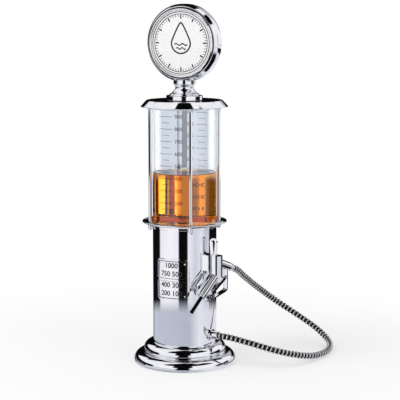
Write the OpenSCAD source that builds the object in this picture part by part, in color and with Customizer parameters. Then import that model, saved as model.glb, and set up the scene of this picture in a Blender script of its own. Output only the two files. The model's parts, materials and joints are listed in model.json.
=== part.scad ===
// Drinks dispenser in the shape of an old fuel pump: a clear graduated reservoir on a round pedestal,
// a ribbed metal hose and a hand nozzle that hangs on the side of the body.
// Millimetres. +Z is up, -Y is the front, and the origin is the centre of the foot's underside.

/* [Foot] */
// Diameter of the foot
base_d = 145; // [140:1:156]
// Diameter of the upper step of the foot
step_d = 118; // [116:1:122]
// Height of the foot
base_h = 30; // [29:1:36]
// Height of the upright lip round the foot
lip_h = 3; // [2:0.5:4]
// Radius of the rounded lower step
tier_round = 11; // [9:0.5:11]
// Radius of the rounded upper step
step_round = 12; // [8:0.5:12.5]
// Wall of the foot
base_wall = 3; // [2.5:0.5:3.5]
// Thickness of the non-slip pad
pad_t = 2; // [1.5:0.5:2.5]
// Height at which the foot's lip clears the table
lip_gap = 1; // [0.5:0.25:1]
// Thickness of the closing plate in the foot
closing_t = 1.5; // [1:0.25:2]

/* [Body] */
// Outside diameter of the body tube
body_d = 90.5; // [88:0.5:92]
// Wall of the body tube
body_wall = 1.2; // [0.8:0.1:1.6]
// Bare height of the body between the foot and the collar
body_h = 159; // [155:1:175]
// Depth of the body tube in the foot
tube_seat = 6; // [4:0.5:7]
// Angle of the hose and the nozzle round the body, from the front towards +X
side_angle = 79.5; // [70:0.5:95]

/* [Front plate] */
// Width of the front plate, measured straight across
plate_w = 50; // [40:1:60]
// Height of the front plate
plate_h = 58; // [46:1:66]
// Height of the middle of the front plate
plate_z = 125.5; // [110:0.5:140]
// Thickness of the front plate
plate_t = 1; // [0.8:0.1:1.5]
// Height of the raised border on the front plate
border_t = 0.6; // [0.4:0.1:1]
// Width of the raised border
border_w = 2; // [1.5:0.25:3]
// Corner radius of the front plate
plate_corner = 5; // [3:0.5:8]
// Diameter of the rivet heads
rivet_d = 2.6; // [2:0.2:3.4]

/* [Collar] */
// Diameter of the collar flange
collar_d = 120; // [114:1:128]
// Overlap of the collar on the body tube
collar_lap = 8; // [6:0.5:12]
// Wall of the collar's skirt
collar_wall = 0.7; // [0.6:0.1:1.2]
// Thickness of the reservoir floor
floor_t = 4; // [3:0.5:6]
// Depth of the groove for the glass
groove_depth = 2.5; // [2:0.25:3]
// Thickness of the glass gaskets
gasket_t = 1.5; // [1:0.25:1.75]

/* [Reservoir] */
// Outside diameter of the glass cylinder
glass_d = 90.6; // [88:0.2:92]
// Wall of the glass cylinder
glass_wall = 2.5; // [2:0.25:3]
// Height of the glass cylinder
glass_h = 160; // [140:1:200]
// Diameter of the tie rods
rod_d = 4.6; // [4:0.2:5]
// Diameter of the thread at both ends of a tie rod
thread_d = 3; // [2.6:0.2:3.4]
// Diameter of the acorn nuts
nut_d = 6; // [5.4:0.2:7]
// Height of the acorn nuts
nut_h = 9; // [8:0.5:12]

/* [Lid] */
// Diameter of the lid at the edge of its skirt
lid_d = 122.8; // [119:0.2:128]
// Diameter of the lid's flat top
lid_top_d = 107; // [105:0.5:109]
// Thickness of the lid above the glass
lid_t = 9; // [8:0.5:12]
// Drop of the lid's skirt below the underside of the lid
skirt_drop = 2; // [1:0.5:4]
// Diameter of the filler mouth
mouth_d = 44; // [36:1:46]

/* [Filler cap and neck] */
// Diameter of the filler cap
cap_d = 53; // [51:0.5:58]
// Height of the filler cap
cap_h = 9.4; // [8.4:0.2:12]
// Diameter of the top of the filler cap
cap_top_d = 41; // [38:0.5:44]
// Height of the turned neck
neck_h = 16.2; // [14:0.2:22]
// Diameter of the foot of the neck
neck_foot_d = 35; // [30:0.5:38]
// Diameter of the waist of the neck
neck_waist_d = 25.6; // [20:0.2:28]
// Diameter of the head of the neck
neck_head_d = 30.6; // [26:0.2:34]
// Diameter of the stud through the neck
stud_d = 5; // [4:0.5:6]

/* [Sign] */
// Diameter of the round sign
globe_d = 107.8; // [96:0.2:120]
// Thickness of the round sign
globe_t = 23.5; // [22:0.5:30]
// Outside diameter of the bezels
bezel_d = 97; // [88:0.5:98]
// Diameter of the face inside a bezel
face_d = 90; // [80:0.5:91]
// Wall of the sign's rim
rim_wall = 3.5; // [2.5:0.25:4]
// Thickness of the faces
face_t = 1.2; // [0.8:0.2:2]
// Depth of the bezels
bezel_t = 2.6; // [2:0.2:3.4]

/* [Outlet and feed] */
// Height of the hose outlet
outlet_z = 43.5; // [41:0.5:47]
// Diameter of the outlet's flange
outlet_flange_d = 16; // [14:0.5:18]
// Diameter of the outlet's stem through the body
outlet_stem_d = 8; // [6.5:0.5:9]
// Inside diameter of the feed tube and of the fittings' stubs
feed_bore = 6; // [5.6:0.2:6.4]
// Wall of the feed tube
feed_wall = 1.5; // [1:0.25:2]
// Bend radius of the feed tube
feed_bend = 18; // [14:1:22]
// Bore of the fittings
fitting_bore = 4; // [3:0.25:4.5]

/* [Hose] */
// Diameter of the hose over its ribs
hose_d = 9.5; // [8.5:0.25:10]
// Depth of the ribs
rib_depth = 0.9; // [0.4:0.1:1.2]
// Bore of the hose
hose_bore = 5.6; // [4:0.2:6]
// Number of ribs on the hose
rib_count = 80; // [50:1:100]
// Diameter of the hose ferrules
ferrule_d = 11; // [10.5:0.25:12]
// Length of the hose ferrules
ferrule_l = 8; // [6:0.5:12]

/* [Nozzle] */
// Distance of the nozzle's axis from the surface of the body
nozzle_out = 15.75; // [14.75:0.25:20.75]
// Shift of the nozzle towards the front
nozzle_x = 10; // [7:0.5:12]
// Diameter of the valve housing
housing_d = 17; // [16:0.5:17.5]
// Height of the underside of the valve housing
housing_z = 131; // [126:0.5:134]
// Height of the valve housing
housing_h = 25.5; // [25:0.5:28]
// Height of the valve cap
valve_cap_h = 4; // [3:0.5:6]
// Bore of the valve chamber
chamber_d = 11; // [10:0.25:12]
// Bore of the valve seat
seat_d = 6; // [5:0.25:7]
// Diameter of the valve stem
stem_d = 3; // [2.5:0.25:4]
// Diameter of the barrel in front of the valve
barrel_d = 12; // [11:0.5:12.5]
// Length of the barrel from the axis of the valve
barrel_l = 42; // [40:0.5:46]
// Slope of the barrel below the level
barrel_angle = 35; // [34:0.5:36]
// Diameter of the handle behind the valve
handle_d = 12; // [11:0.5:13]
// Length of the handle from the axis of the valve
handle_l = 32; // [30:0.5:38]
// Slope of the handle below the level
handle_angle = 20; // [18:0.5:22]
// Outside diameter of the spout
spout_d = 5; // [4.4:0.2:5.6]
// Wall of the spout
spout_wall = 0.7; // [0.5:0.1:0.9]
// Free length of the spout
spout_l = 33; // [24:1:40]
// Diameter of the spout nut
spout_nut_d = 10; // [8.5:0.5:11]
// Length of the spout nut
spout_nut_l = 5; // [4:0.5:7]

/* [Lifting eye] */
// Height of the eye on the valve cap
lift_eye_h = 24; // [18:0.5:24]
// Width of the eye at its rounded top
lift_eye_w = 11; // [9:0.5:12]
// Width of the eye at its foot
lift_eye_foot = 8; // [7:0.5:9]
// Thickness of the eye's strap
lift_eye_t = 2.2; // [1.8:0.2:2.6]

/* [Trigger] */
// Width of the trigger and its guard
trigger_w = 7; // [6:0.5:7.5]
// Thickness of the trigger
trigger_t = 5; // [4:0.5:5]
// Length of the trigger from its pin
trigger_l = 42; // [38:0.5:44]
// Slope of the trigger
trigger_angle = 26.5; // [25:0.5:27]
// Diameter of the trigger pin
pin_d = 3; // [2.5:0.25:3.5]
// Thickness of the ears that hold the trigger pin
ear_t = 2; // [1.5:0.25:2.5]
// Thickness of the guard strip
guard_t = 2.2; // [1.6:0.2:2.6]

/* [Holder] */
// Width of the holder
holder_w = 16; // [15:0.5:20]
// Height of the holder
holder_h = 22; // [20:0.5:26]
// Diameter of the hanging stud's head
hang_head_d = 8.4; // [7:0.2:9]
// Diameter of the hanging stud's shank
hang_shank_d = 4.8; // [4:0.2:5.2]
// Thickness of the hanging stud's head
hang_head_t = 2; // [1.6:0.2:2.2]

/* [Fits] */
// Clearance between fixed pieces
fit = 0.05; // [0.02:0.01:0.08]
// Clearance of pins and the valve stem that turn or slide
run = 0.05; // [0.03:0.01:0.09]
// Clearance between loose moving pieces
gap = 0.3; // [0.3:0.05:0.5]

/* [Hidden] */
$fn = 96;
chrome = "silver";
rubber = "dimgray";

// Small sizes that several pieces share
ledge = 3.2;
screw_r = 1.5;
screw_head_r = 2.8;
screw_head_h = 1.4;
closing_screw_l = 6;
closing_screw_ring = 55.5;
thread_depth = 6;
nut_t = 4;
barb_l = 10;
wire_r = 0.4;
spring_turns = 5;
washer_t = 1.3;
plunger_head_t = 2.5;
pin_head = 0.5;
valve_plug_h = 3.5;
hang_seat = 2.5;
spout_seat = 8;
holder_screw_l = 6;
stud_nut_r = 4.6;
vent_r = 0.8;
land = 1;
// Depth by which joined shapes enter each other, and the length of a cut that goes right through
overlap = 1;
through = 50;

// Small sizes of the foot and the body
step_undercut = 1;
step_gap = 1.5;
closing_slope = 1.5;
boss_r = 3.75;
rivet_grip = 3;
rivet_inset = plate_corner + land;

// Small sizes of the outlet and the drain
outlet_washer_t = 2.2;
outlet_stand = 5;
ferrule_lap = 2;
stub_wall = 1;
stub_r = hose_bore / 2 + stub_wall;
drain_gasket_t = 1;
drain_flange_t = 2;
stub_lap = 2;

// Small sizes of the collar and the lid
flange_drop = 1;
collar_rise = 4;
collar_edge = 1;
collar_edge_rise = 2;
spigot_wall = 1.5;
groove_lap = 1;
groove_lip = 1.5;
plug_wall = 2;
lid_belly = 0.6;
lid_round = 1.5;

// Small sizes of the filler cap, the neck and the sign
seal_inset = 0.5;
seal_w = 2.5;
seal_depth = 1;
plug_lift = 1;
cap_round = 3.2;
cap_edge = 1.4;
cap_step = 2.4;
cap_top_round = 0.8;
vent_inset = 1.8;
waist_h = 8.4;
neck_foot_h = 1.2;
neck_head_h = 2.8;
neck_saddle = 0.6;
stud_lift = 1;
nut_room = 1;
nut_flat = 0.4;
nut_headroom = 4;
bezel_proud = 0.6;
bezel_edge = 1.2;
rim_edge = 4;
face_seat_w = 1.5;
face_seat_t = 2;

// Small sizes of the nozzle and its holder
barrel_rise = 3;
handle_rise = 20.5;
seat_rise = 7;
seat_floor = 2;
head_clear = 1;
coil_clear = 1.5;
spring_sides = 6;
turn_rings = 8;
eye_wall = 1.7;
lift_eye_depth = 4;
guard_drop = 7.4;
guard_corner = 5;
guard_bend = 30;
guard_rise = 7;
hang_rise = 18;
hang_back = 1.2;
slot_floor = 10;
holder_screw_x = 4.8;
holder_screw_rise = 4;

// Heights of the stack, from the table up
base_r = base_d / 2;
step_r = step_d / 2;
body_r = body_d / 2;
body_in_r = body_r - body_wall;
closing_top = pad_t + closing_t;
tier_top = lip_gap + lip_h + tier_round;
seat_z = base_h - tube_seat;
collar_z = base_h + body_h;
tube_top = collar_z + collar_lap;
floor_z = tube_top + floor_t;
flange_under = floor_z - flange_drop;
collar_top = floor_z + collar_rise;
groove_z = collar_top - groove_depth;
glass_z = groove_z + gasket_t;
glass_top = glass_z + glass_h;
glass_r = glass_d / 2;
glass_in_r = glass_r - glass_wall;
groove_r = glass_in_r - groove_lap;
lid_z = glass_top + gasket_t;
lid_top = lid_z + lid_t;
cap_top = lid_top + cap_h;
neck_top = cap_top + neck_h;
globe_r = globe_d / 2;
globe_z = neck_top + globe_r;
half_t = globe_t / 2;
socket_r = body_r + fit;
rod_r = max(socket_r + collar_wall + gap + nut_d / 2, glass_r + gap + rod_d / 2);
mouth_r = mouth_d / 2;

// The nozzle in its own frame: x runs towards the spout, y away from the body, z up
nozzle_y = body_r + nozzle_out;
barrel_start_z = housing_z + barrel_rise;
handle_start_z = housing_z + handle_rise;
valve_seat_z = housing_z + seat_rise;
housing_top = housing_z + housing_h;
lift_eye_inset = housing_d / 2 - lift_eye_foot / 2;
barrel_dir = [cos(barrel_angle), 0, -sin(barrel_angle)];
handle_dir = [-cos(handle_angle), 0, -sin(handle_angle)];
pivot_l = 33.5;
pivot_drop = 10.2;
ear_r = 4;
pivot_x = pivot_l * cos(barrel_angle) - pivot_drop * sin(barrel_angle);
pivot_z = barrel_start_z - pivot_l * sin(barrel_angle) - pivot_drop * cos(barrel_angle);
trigger_top_z = pivot_z + pivot_x * tan(trigger_angle) + trigger_t / 2 / cos(trigger_angle);
stem_bottom = trigger_top_z + stem_d / 2 * tan(trigger_angle) + gap;
guard_bottom = pivot_z - guard_drop;
guard_rear = -24;
guard_front = 31;
hang_z = housing_z + hang_rise;
hang_head_y = body_r + hang_back;
holder_face_y = nozzle_y - housing_d / 2 - gap;
lip_y = hang_head_y + hang_head_t + 2 * gap;
slot_z = hang_z - gap;
holder_z = slot_z - slot_floor;

// Where the hose starts and ends, and the points between that it was laid through by hand
hose_r = hose_d / 2;
outlet_out = body_r + outlet_stand;
hose_start_y = outlet_out + ferrule_l;
hose_end_l = handle_l + ferrule_l;
hose_start = side_turn([0, hose_start_y, outlet_z]);
hose_start_dir = side_turn([0, 1, 0]);
hose_end = nozzle_point(handle_point(hose_end_l));
hose_end_dir = side_turn(handle_dir);
hose_points = [
    [103, -9.5, 37.5], [134, 8, 26], [156, 36, 15], [171, 69, 7], [178.5, 105.5, 5.5], [172, 141.5, 9],
    [147, 164.5, 21], [115, 167, 39], [90, 150, 60], [76.5, 122.5, 80.5], [70, 91, 99.5], [68, 58, 117.5]
];
hose_route = concat(
    [hose_start + hose_d * hose_start_dir],
    hose_points,
    [hose_end + hose_d * hose_end_dir]
);
hose_sides = 8;
route_steps = 12;

// A vector, or a point, of the side frame in the frame of the whole object
function side_turn(v) = [
    v[0] * cos(side_angle + 180) - v[1] * sin(side_angle + 180),
    v[0] * sin(side_angle + 180) + v[1] * cos(side_angle + 180),
    v[2]
];
function nozzle_point(p) = side_turn(p + [nozzle_x, nozzle_y, 0]);
function barrel_point(l) = [0, 0, barrel_start_z] + l * barrel_dir;
function handle_point(l) = [0, 0, handle_start_z] + l * handle_dir;

// Points along an arc in a profile
function arc(centre, r, from, to, n = 10) = [
    for (i = [0:n])
        centre + r * [cos(from + (to - from) * i / n), sin(from + (to - from) * i / n)]
];
function unit(v) = v / norm(v);

// A smooth curve through the hose's points, straight at both ends
function route_slope(i) =
    i == 0 ? hose_start_dir * norm(hose_route[1] - hose_route[0])
    : i == len(hose_route) - 1 ? -hose_end_dir * norm(hose_route[i] - hose_route[i - 1])
    : (hose_route[i + 1] - hose_route[i - 1]) / 2;
function curve_point(i, t) =
    (2 * t ^ 3 - 3 * t ^ 2 + 1) * hose_route[i]
    + (t ^ 3 - 2 * t ^ 2 + t) * route_slope(i)
    + (3 * t ^ 2 - 2 * t ^ 3) * hose_route[i + 1]
    + (t ^ 3 - t ^ 2) * route_slope(i + 1);
hose_curve = concat(
    [hose_start],
    [for (i = [0:len(hose_route) - 2]) for (k = [0:route_steps - 1]) curve_point(i, k / route_steps)],
    [hose_route[len(hose_route) - 1], hose_end]
);
hose_steps = [
    for (i = 0, s = 0; i < len(hose_curve); i = i + 1, s = s + norm(hose_curve[min(i, len(hose_curve) - 1)]
        - hose_curve[i - 1])) s
];
hose_length = hose_steps[len(hose_steps) - 1];
hose_tables = [for (axis = [0:2]) [for (i = [0:len(hose_curve) - 1]) [hose_steps[i], hose_curve[i][axis]]]];
function hose_point(s) = [for (axis = [0:2]) lookup(s, hose_tables[axis])];
function hose_dir(s) = unit(hose_point(s + 1) - hose_point(s - 1));

// A ring of points round a path, and the triangles that join such rings
function ring(centre, dir, r, sides) =
    let (across = unit(cross(dir, [0, 0, 1])), over = cross(across, dir))
    [for (k = [0:sides - 1]) centre + r * (cos(360 * k / sides) * across + sin(360 * k / sides) * over)];
function skin_faces(first, rings, sides, inward = false) = [
    for (i = [0:rings - 2]) for (k = [0:sides - 1])
        let (a = first + i * sides + k, b = first + i * sides + (k + 1) % sides)
        each inward
            ? [[a, b, a + sides], [b, b + sides, a + sides]]
            : [[a, a + sides, b], [b, a + sides, b + sides]]
];

hose_rings = 2 * rib_count + 1;
bore_rings = rib_count + 1;
hose_outer = [
    for (i = [0:hose_rings - 1])
        let (s = hose_length * i / (hose_rings - 1))
        each ring(hose_point(s), hose_dir(s), i % 2 == 1 ? hose_r : hose_r - rib_depth, hose_sides)
];
hose_inner = [
    for (i = [0:bore_rings - 1])
        let (s = hose_length * i / (bore_rings - 1))
        each ring(hose_point(s), hose_dir(s), hose_bore / 2, hose_sides)
];
// Least gap of the hose to itself, between points more than eight diameters apart along it
hose_self_gap = min([
    for (i = [0:rib_count - 1]) for (j = [i:rib_count - 1])
        if ((j - i) * hose_length / rib_count > 8 * hose_d)
            norm(hose_point(hose_length * i / rib_count) - hose_point(hose_length * j / rib_count)) - hose_d
]);
echo(hose_length = hose_length, hose_self_gap = hose_self_gap);

// Frames that pieces are placed in
module at_side() {
    rotate([0, 0, side_angle + 180]) children();
}
module at_nozzle() {
    at_side() translate([nozzle_x, nozzle_y, 0]) children();
}
module at_rod(i) {
    rotate([0, 0, side_angle - 45 + 90 * i]) translate([0, -rod_r, 0]) children();
}
module outwards(y, z) {
    translate([0, y, z]) rotate([-90, 0, 0]) children();
}
module along_barrel(l) {
    translate(barrel_point(l)) rotate([0, 90 + barrel_angle, 0]) children();
}
module along_handle(l) {
    translate(handle_point(l)) rotate([0, -90 - handle_angle, 0]) children();
}
module at_sign() {
    translate([0, 0, globe_z]) rotate([90, 0, 0]) children();
}
module pipe(outer_r, inner_r, h) {
    difference() {
        cylinder(r = outer_r, h = h);
        translate([0, 0, -1]) cylinder(r = inner_r, h = h + 2);
    }
}

// Foot
module base_pad() {
    color(rubber) cylinder(r = base_r - base_wall - fit, h = pad_t);
}
module closing_screw_places() {
    for (i = [0:2]) rotate([0, 0, 120 * i + 30]) translate([closing_screw_ring, 0, 0]) children();
}
module closing_plate() {
    color("gainsboro") difference() {
        translate([0, 0, pad_t]) cylinder(r = base_r - base_wall - fit, h = closing_t);
        closing_screw_places() cylinder(r = screw_r + fit, h = closing_top + overlap);
        closing_screw_places() translate([0, 0, pad_t - overlap])
            cylinder(r = screw_head_r + fit, h = overlap + closing_t / 2);
    }
}
module closing_screws() {
    color("gray") closing_screw_places() {
        translate([0, 0, pad_t]) cylinder(r = screw_head_r, h = closing_t / 2 - fit);
        translate([0, 0, pad_t]) cylinder(r = screw_r, h = closing_screw_l);
    }
}
module base() {
    roof = tier_top - base_wall;
    profile = concat(
        [[base_r, lip_gap]],
        arc([base_r - tier_round, lip_gap + lip_h], tier_round, 0, 90),
        [[step_r - step_undercut, tier_top], [step_r - step_undercut, tier_top + step_gap]],
        [[step_r, tier_top + step_gap + step_undercut / 2]],
        arc([step_r - step_round, base_h - step_round], step_round, 0, 90),
        [[socket_r, base_h], [socket_r, seat_z], [socket_r - ledge, seat_z]],
        [[socket_r - ledge, seat_z - base_wall]],
        [[step_r - base_wall, seat_z - base_wall], [step_r - base_wall, roof], [base_r - tier_round, roof]],
        [[base_r - 2 * base_wall, closing_top + closing_slope], [base_r - 2 * base_wall, closing_top]],
        [[base_r - base_wall, closing_top], [base_r - base_wall, lip_gap]]
    );
    color(chrome) difference() {
        union() {
            rotate_extrude() polygon(profile);
            closing_screw_places() translate([0, 0, closing_top])
                cylinder(r = boss_r, h = roof + overlap - closing_top);
        }
        closing_screw_places() cylinder(r = screw_r + fit, h = pad_t + closing_screw_l + fit);
    }
}

// Body
module body_tube() {
    color(chrome) difference() {
        translate([0, 0, seat_z]) pipe(body_r, body_in_r, tube_top - seat_z);
        at_side() outwards(stub_y, outlet_z) cylinder(r = outlet_stem_d / 2 + fit, h = through);
        holder_screw_places() cylinder(r = screw_r + fit, h = through);
        rivet_places() cylinder(r = rivet_d / 4 + fit, h = through);
    }
}
module rounded_panel(w, h, corner) {
    square([w - 2 * corner, h], center = true);
    square([w, h - 2 * corner], center = true);
    for (x = [-1, 1]) for (z = [-1, 1])
        translate([x * (w / 2 - corner), z * (h / 2 - corner)]) circle(r = corner);
}
module from_front() {
    translate([0, 0, plate_z]) rotate([90, 0, 0]) linear_extrude(body_d) children();
}
module front_plate() {
    plate_r = body_r + fit + plate_t;
    color("lightgray") difference() {
        union() {
            intersection() {
                translate([0, 0, plate_z - plate_h]) pipe(plate_r, body_r + fit, 2 * plate_h);
                from_front() rounded_panel(plate_w, plate_h, plate_corner);
            }
            intersection() {
                translate([0, 0, plate_z - plate_h]) pipe(plate_r + border_t, body_r + fit, 2 * plate_h);
                from_front() difference() {
                    rounded_panel(plate_w, plate_h, plate_corner);
                    for (z = [-1, 1]) translate([0, z * plate_h / 4]) rounded_panel(
                        plate_w - 2 * border_w, plate_h / 2 - 1.5 * border_w, plate_corner - border_w
                    );
                }
            }
        }
        rivet_places() cylinder(r = rivet_d / 4 + fit, h = through);
    }
}
rivet_angle = asin((plate_w / 2 - rivet_inset) / body_r);
module rivet_places() {
    for (x = [-1, 1]) for (z = [-1, 1])
        rotate([0, 0, x * rivet_angle])
            translate([0, rivet_grip - body_r, plate_z + z * (plate_h / 2 - rivet_inset)])
                rotate([90, 0, 0]) children();
}
module plate_rivets() {
    shank = rivet_grip + plate_t + 2 * fit;
    color("darkgray") rivet_places() {
        translate([0, 0, rivet_grip - body_wall])
            cylinder(r = rivet_d / 4, h = shank - rivet_grip + body_wall);
        intersection() {
            translate([0, 0, shank]) sphere(r = rivet_d / 2);
            translate([0, 0, shank]) cylinder(r = rivet_d, h = rivet_d);
        }
    }
}

// Outlet, drain and the feed tube between them
washer_y = body_in_r - outlet_washer_t;
stub_y = washer_y - nut_t;
module outlet_fitting() {
    color(chrome) at_side() difference() {
        union() {
            difference() {
                outwards(body_in_r, outlet_z)
                    cylinder(r = outlet_flange_d / 2, h = outlet_out - body_in_r - ferrule_lap);
                cylinder(r = body_r + fit, h = 2 * outlet_z);
            }
            outwards(body_r + overlap, outlet_z)
                cylinder(r = stub_r, h = hose_start_y - body_r - overlap - fit);
            outwards(stub_y - barb_l, outlet_z) cylinder(r = feed_bore / 2 - fit, h = barb_l + overlap);
            outwards(stub_y, outlet_z) cylinder(r = outlet_stem_d / 2, h = body_r - stub_y + 3 * overlap);
        }
        outwards(stub_y - barb_l - overlap, outlet_z) cylinder(r = fitting_bore / 2, h = hose_start_y);
    }
}
module outlet_washer() {
    color(rubber) at_side() difference() {
        intersection() {
            outwards(washer_y, outlet_z) cylinder(r = outlet_flange_d / 2, h = through);
            translate([0, 0, outlet_z - outlet_flange_d])
                cylinder(r = body_in_r - fit, h = 2 * outlet_flange_d);
        }
        outwards(stub_y, outlet_z) cylinder(r = outlet_stem_d / 2 + fit, h = through);
    }
}
module outlet_nut() {
    color("gold") at_side() difference() {
        outwards(stub_y + fit, outlet_z) cylinder(r = outlet_flange_d / 2, h = nut_t - 2 * fit, $fn = 6);
        outwards(stub_y - overlap, outlet_z) cylinder(r = outlet_stem_d / 2 + fit, h = through);
    }
}
module outlet_ferrule() {
    color(chrome) at_side() outwards(outlet_out - ferrule_lap, outlet_z)
        pipe(ferrule_d / 2, stub_r + fit, ferrule_l + ferrule_lap);
}
drain_stub_z = tube_top - stub_lap - nut_t;
module drain_fitting() {
    flange_z = floor_z + drain_gasket_t;
    color("gold") difference() {
        union() {
            translate([0, 0, flange_z]) cylinder(r = outlet_flange_d / 2, h = drain_flange_t);
            translate([0, 0, drain_stub_z])
                cylinder(r = outlet_stem_d / 2, h = flange_z + overlap - drain_stub_z);
            translate([0, 0, drain_stub_z - barb_l]) cylinder(r = feed_bore / 2 - fit, h = barb_l + overlap);
        }
        translate([0, 0, drain_stub_z - barb_l - overlap]) cylinder(r = fitting_bore / 2, h = through);
    }
}
module drain_gasket() {
    color(rubber) translate([0, 0, floor_z])
        pipe(outlet_flange_d / 2, outlet_stem_d / 2 + fit, drain_gasket_t);
}
module drain_nut() {
    color("gold") difference() {
        translate([0, 0, tube_top - nut_t]) cylinder(r = outlet_flange_d / 2, h = nut_t, $fn = 6);
        translate([0, 0, drain_stub_z]) cylinder(r = outlet_stem_d / 2 + fit, h = through);
    }
}
module feed_section() {
    difference() {
        circle(r = feed_bore / 2 + feed_wall);
        circle(r = feed_bore / 2);
    }
}
module feed_tube() {
    top = drain_stub_z - fit;
    color("whitesmoke") at_side() {
        translate([0, 0, outlet_z + feed_bend]) linear_extrude(top - outlet_z - feed_bend) feed_section();
        translate([0, feed_bend, outlet_z + feed_bend]) rotate([0, 90, 0]) rotate([0, 0, -90])
            rotate_extrude(angle = 90) translate([feed_bend, 0]) feed_section();
        outwards(feed_bend, outlet_z) linear_extrude(stub_y - fit - feed_bend) feed_section();
    }
}

// Collar, glass and lid
module collar() {
    spigot_r = body_in_r - fit;
    skirt_r = socket_r + collar_wall;
    collar_r = collar_d / 2;
    profile = concat(
        [[0, tube_top], [spigot_r - spigot_wall, tube_top], [spigot_r - spigot_wall, collar_z]],
        [[spigot_r, collar_z]],
        [[spigot_r, tube_top], [socket_r, tube_top], [socket_r, collar_z], [skirt_r, collar_z]],
        [[skirt_r, flange_under], [rod_r + nut_d / 2 + land, flange_under]],
        arc([collar_r - collar_edge, floor_z + collar_edge_rise], collar_edge, -60, 90, 6),
        [[rod_r + rod_d / 2 + land, collar_top], [glass_r + fit, collar_top], [glass_r + fit, groove_z]],
        [[groove_r, groove_z], [groove_r, collar_top], [groove_r - groove_lip, collar_top]],
        [[groove_r - groove_lip, floor_z], [0, floor_z]]
    );
    color(chrome) difference() {
        rotate_extrude() polygon(profile);
        for (i = [0:3]) at_rod(i) translate([0, 0, collar_z]) cylinder(r = thread_d / 2 + fit, h = through);
        translate([0, 0, collar_z]) cylinder(r = outlet_stem_d / 2 + fit, h = through);
    }
}
module bottom_gasket() {
    color(rubber) translate([0, 0, groove_z]) pipe(glass_r, groove_r + fit, gasket_t);
}
module glass_cylinder() {
    color("aliceblue", 0.4) translate([0, 0, glass_z]) pipe(glass_r, glass_in_r, glass_h);
}
module top_gasket() {
    color(rubber) translate([0, 0, glass_top]) pipe(glass_r, glass_in_r, gasket_t);
}
module lid() {
    lid_r = lid_d / 2;
    top_r = lid_top_d / 2;
    plug_r = glass_in_r - fit;
    skirt_z = lid_z - skirt_drop;
    profile = concat(
        [[mouth_r, lid_z], [plug_r - plug_wall, lid_z], [plug_r - plug_wall, lid_z - ledge]],
        [[plug_r, lid_z - ledge], [plug_r, lid_z], [rod_r + rod_d / 2 + land, lid_z]],
        [[lid_r - land, skirt_z], [lid_r, skirt_z], [lid_r, skirt_z + land]],
        [[(lid_r + top_r) / 2 - lid_belly, (skirt_z + lid_top) / 2]],
        arc([top_r - land, lid_top - lid_round], lid_round, 30, 90, 5),
        [[mouth_r, lid_top]]
    );
    color(chrome) difference() {
        rotate_extrude() polygon(profile);
        for (i = [0:3]) at_rod(i) translate([0, 0, lid_z - overlap])
            cylinder(r = thread_d / 2 + fit, h = thread_depth + overlap);
    }
}
module tie_rod(i) {
    color(chrome) at_rod(i) {
        translate([0, 0, collar_top]) cylinder(r = rod_d / 2, h = lid_z - collar_top);
        translate([0, 0, flange_under - thread_depth]) cylinder(
            r = thread_d / 2, h = lid_z - flange_under + 2 * thread_depth - fit
        );
    }
}
module tie_rod_1() { tie_rod(0); }
module tie_rod_2() { tie_rod(1); }
module tie_rod_3() { tie_rod(2); }
module tie_rod_4() { tie_rod(3); }
module rod_nuts() {
    straight = nut_h - nut_d / 2;
    color(chrome) for (i = [0:3]) at_rod(i) difference() {
        union() {
            translate([0, 0, flange_under - straight]) cylinder(r = nut_d / 2, h = straight);
            translate([0, 0, flange_under - straight]) sphere(r = nut_d / 2);
        }
        translate([0, 0, flange_under - thread_depth - fit])
            cylinder(r = thread_d / 2 + fit, h = thread_depth + overlap);
    }
}

// Filler cap, neck and round sign, which lift off together
seal_in_r = mouth_r + seal_inset;
seal_out_r = seal_in_r + seal_w;
cap_z = lid_top + gap;
stud_pocket = nut_t + nut_room;
stud_top = neck_top + rim_wall + nut_t + nut_room;
flat_z = neck_top + rim_wall + nut_flat;
module filler_cap() {
    cap_r = cap_d / 2;
    top_r = cap_top_d / 2;
    profile = concat(
        [[0, cap_z], [seal_in_r, cap_z], [seal_in_r, cap_z + seal_depth]],
        [[seal_out_r, cap_z + seal_depth], [seal_out_r, cap_z], [cap_r, cap_z]],
        arc([cap_r - cap_round, cap_z + cap_edge], cap_round, 0, 80, 6),
        [[top_r + land, cap_top - cap_step]],
        arc([top_r - cap_top_round, cap_top - cap_top_round], cap_top_round, 0, 90, 4),
        [[0, cap_top]]
    );
    color(chrome) difference() {
        rotate_extrude() polygon(profile);
        translate([0, 0, lid_z]) cylinder(r = stud_d / 2 + fit, h = through);
        translate([0, 0, cap_z - overlap]) cylinder(r = stud_nut_r + fit, h = stud_pocket + overlap);
        translate([0, top_r - vent_inset, lid_z]) cylinder(r = vent_r, h = through);
    }
}
module filler_plug() {
    plug_r = mouth_r - gap;
    plug_z = lid_z + plug_lift;
    color("whitesmoke") translate([0, 0, plug_z]) pipe(plug_r, plug_r - plug_wall, cap_z - plug_z);
}
module filler_seal() {
    color(rubber) translate([0, 0, lid_top + fit])
        pipe(seal_out_r - fit, seal_in_r + fit, gap + seal_depth - 2 * fit);
}
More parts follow.
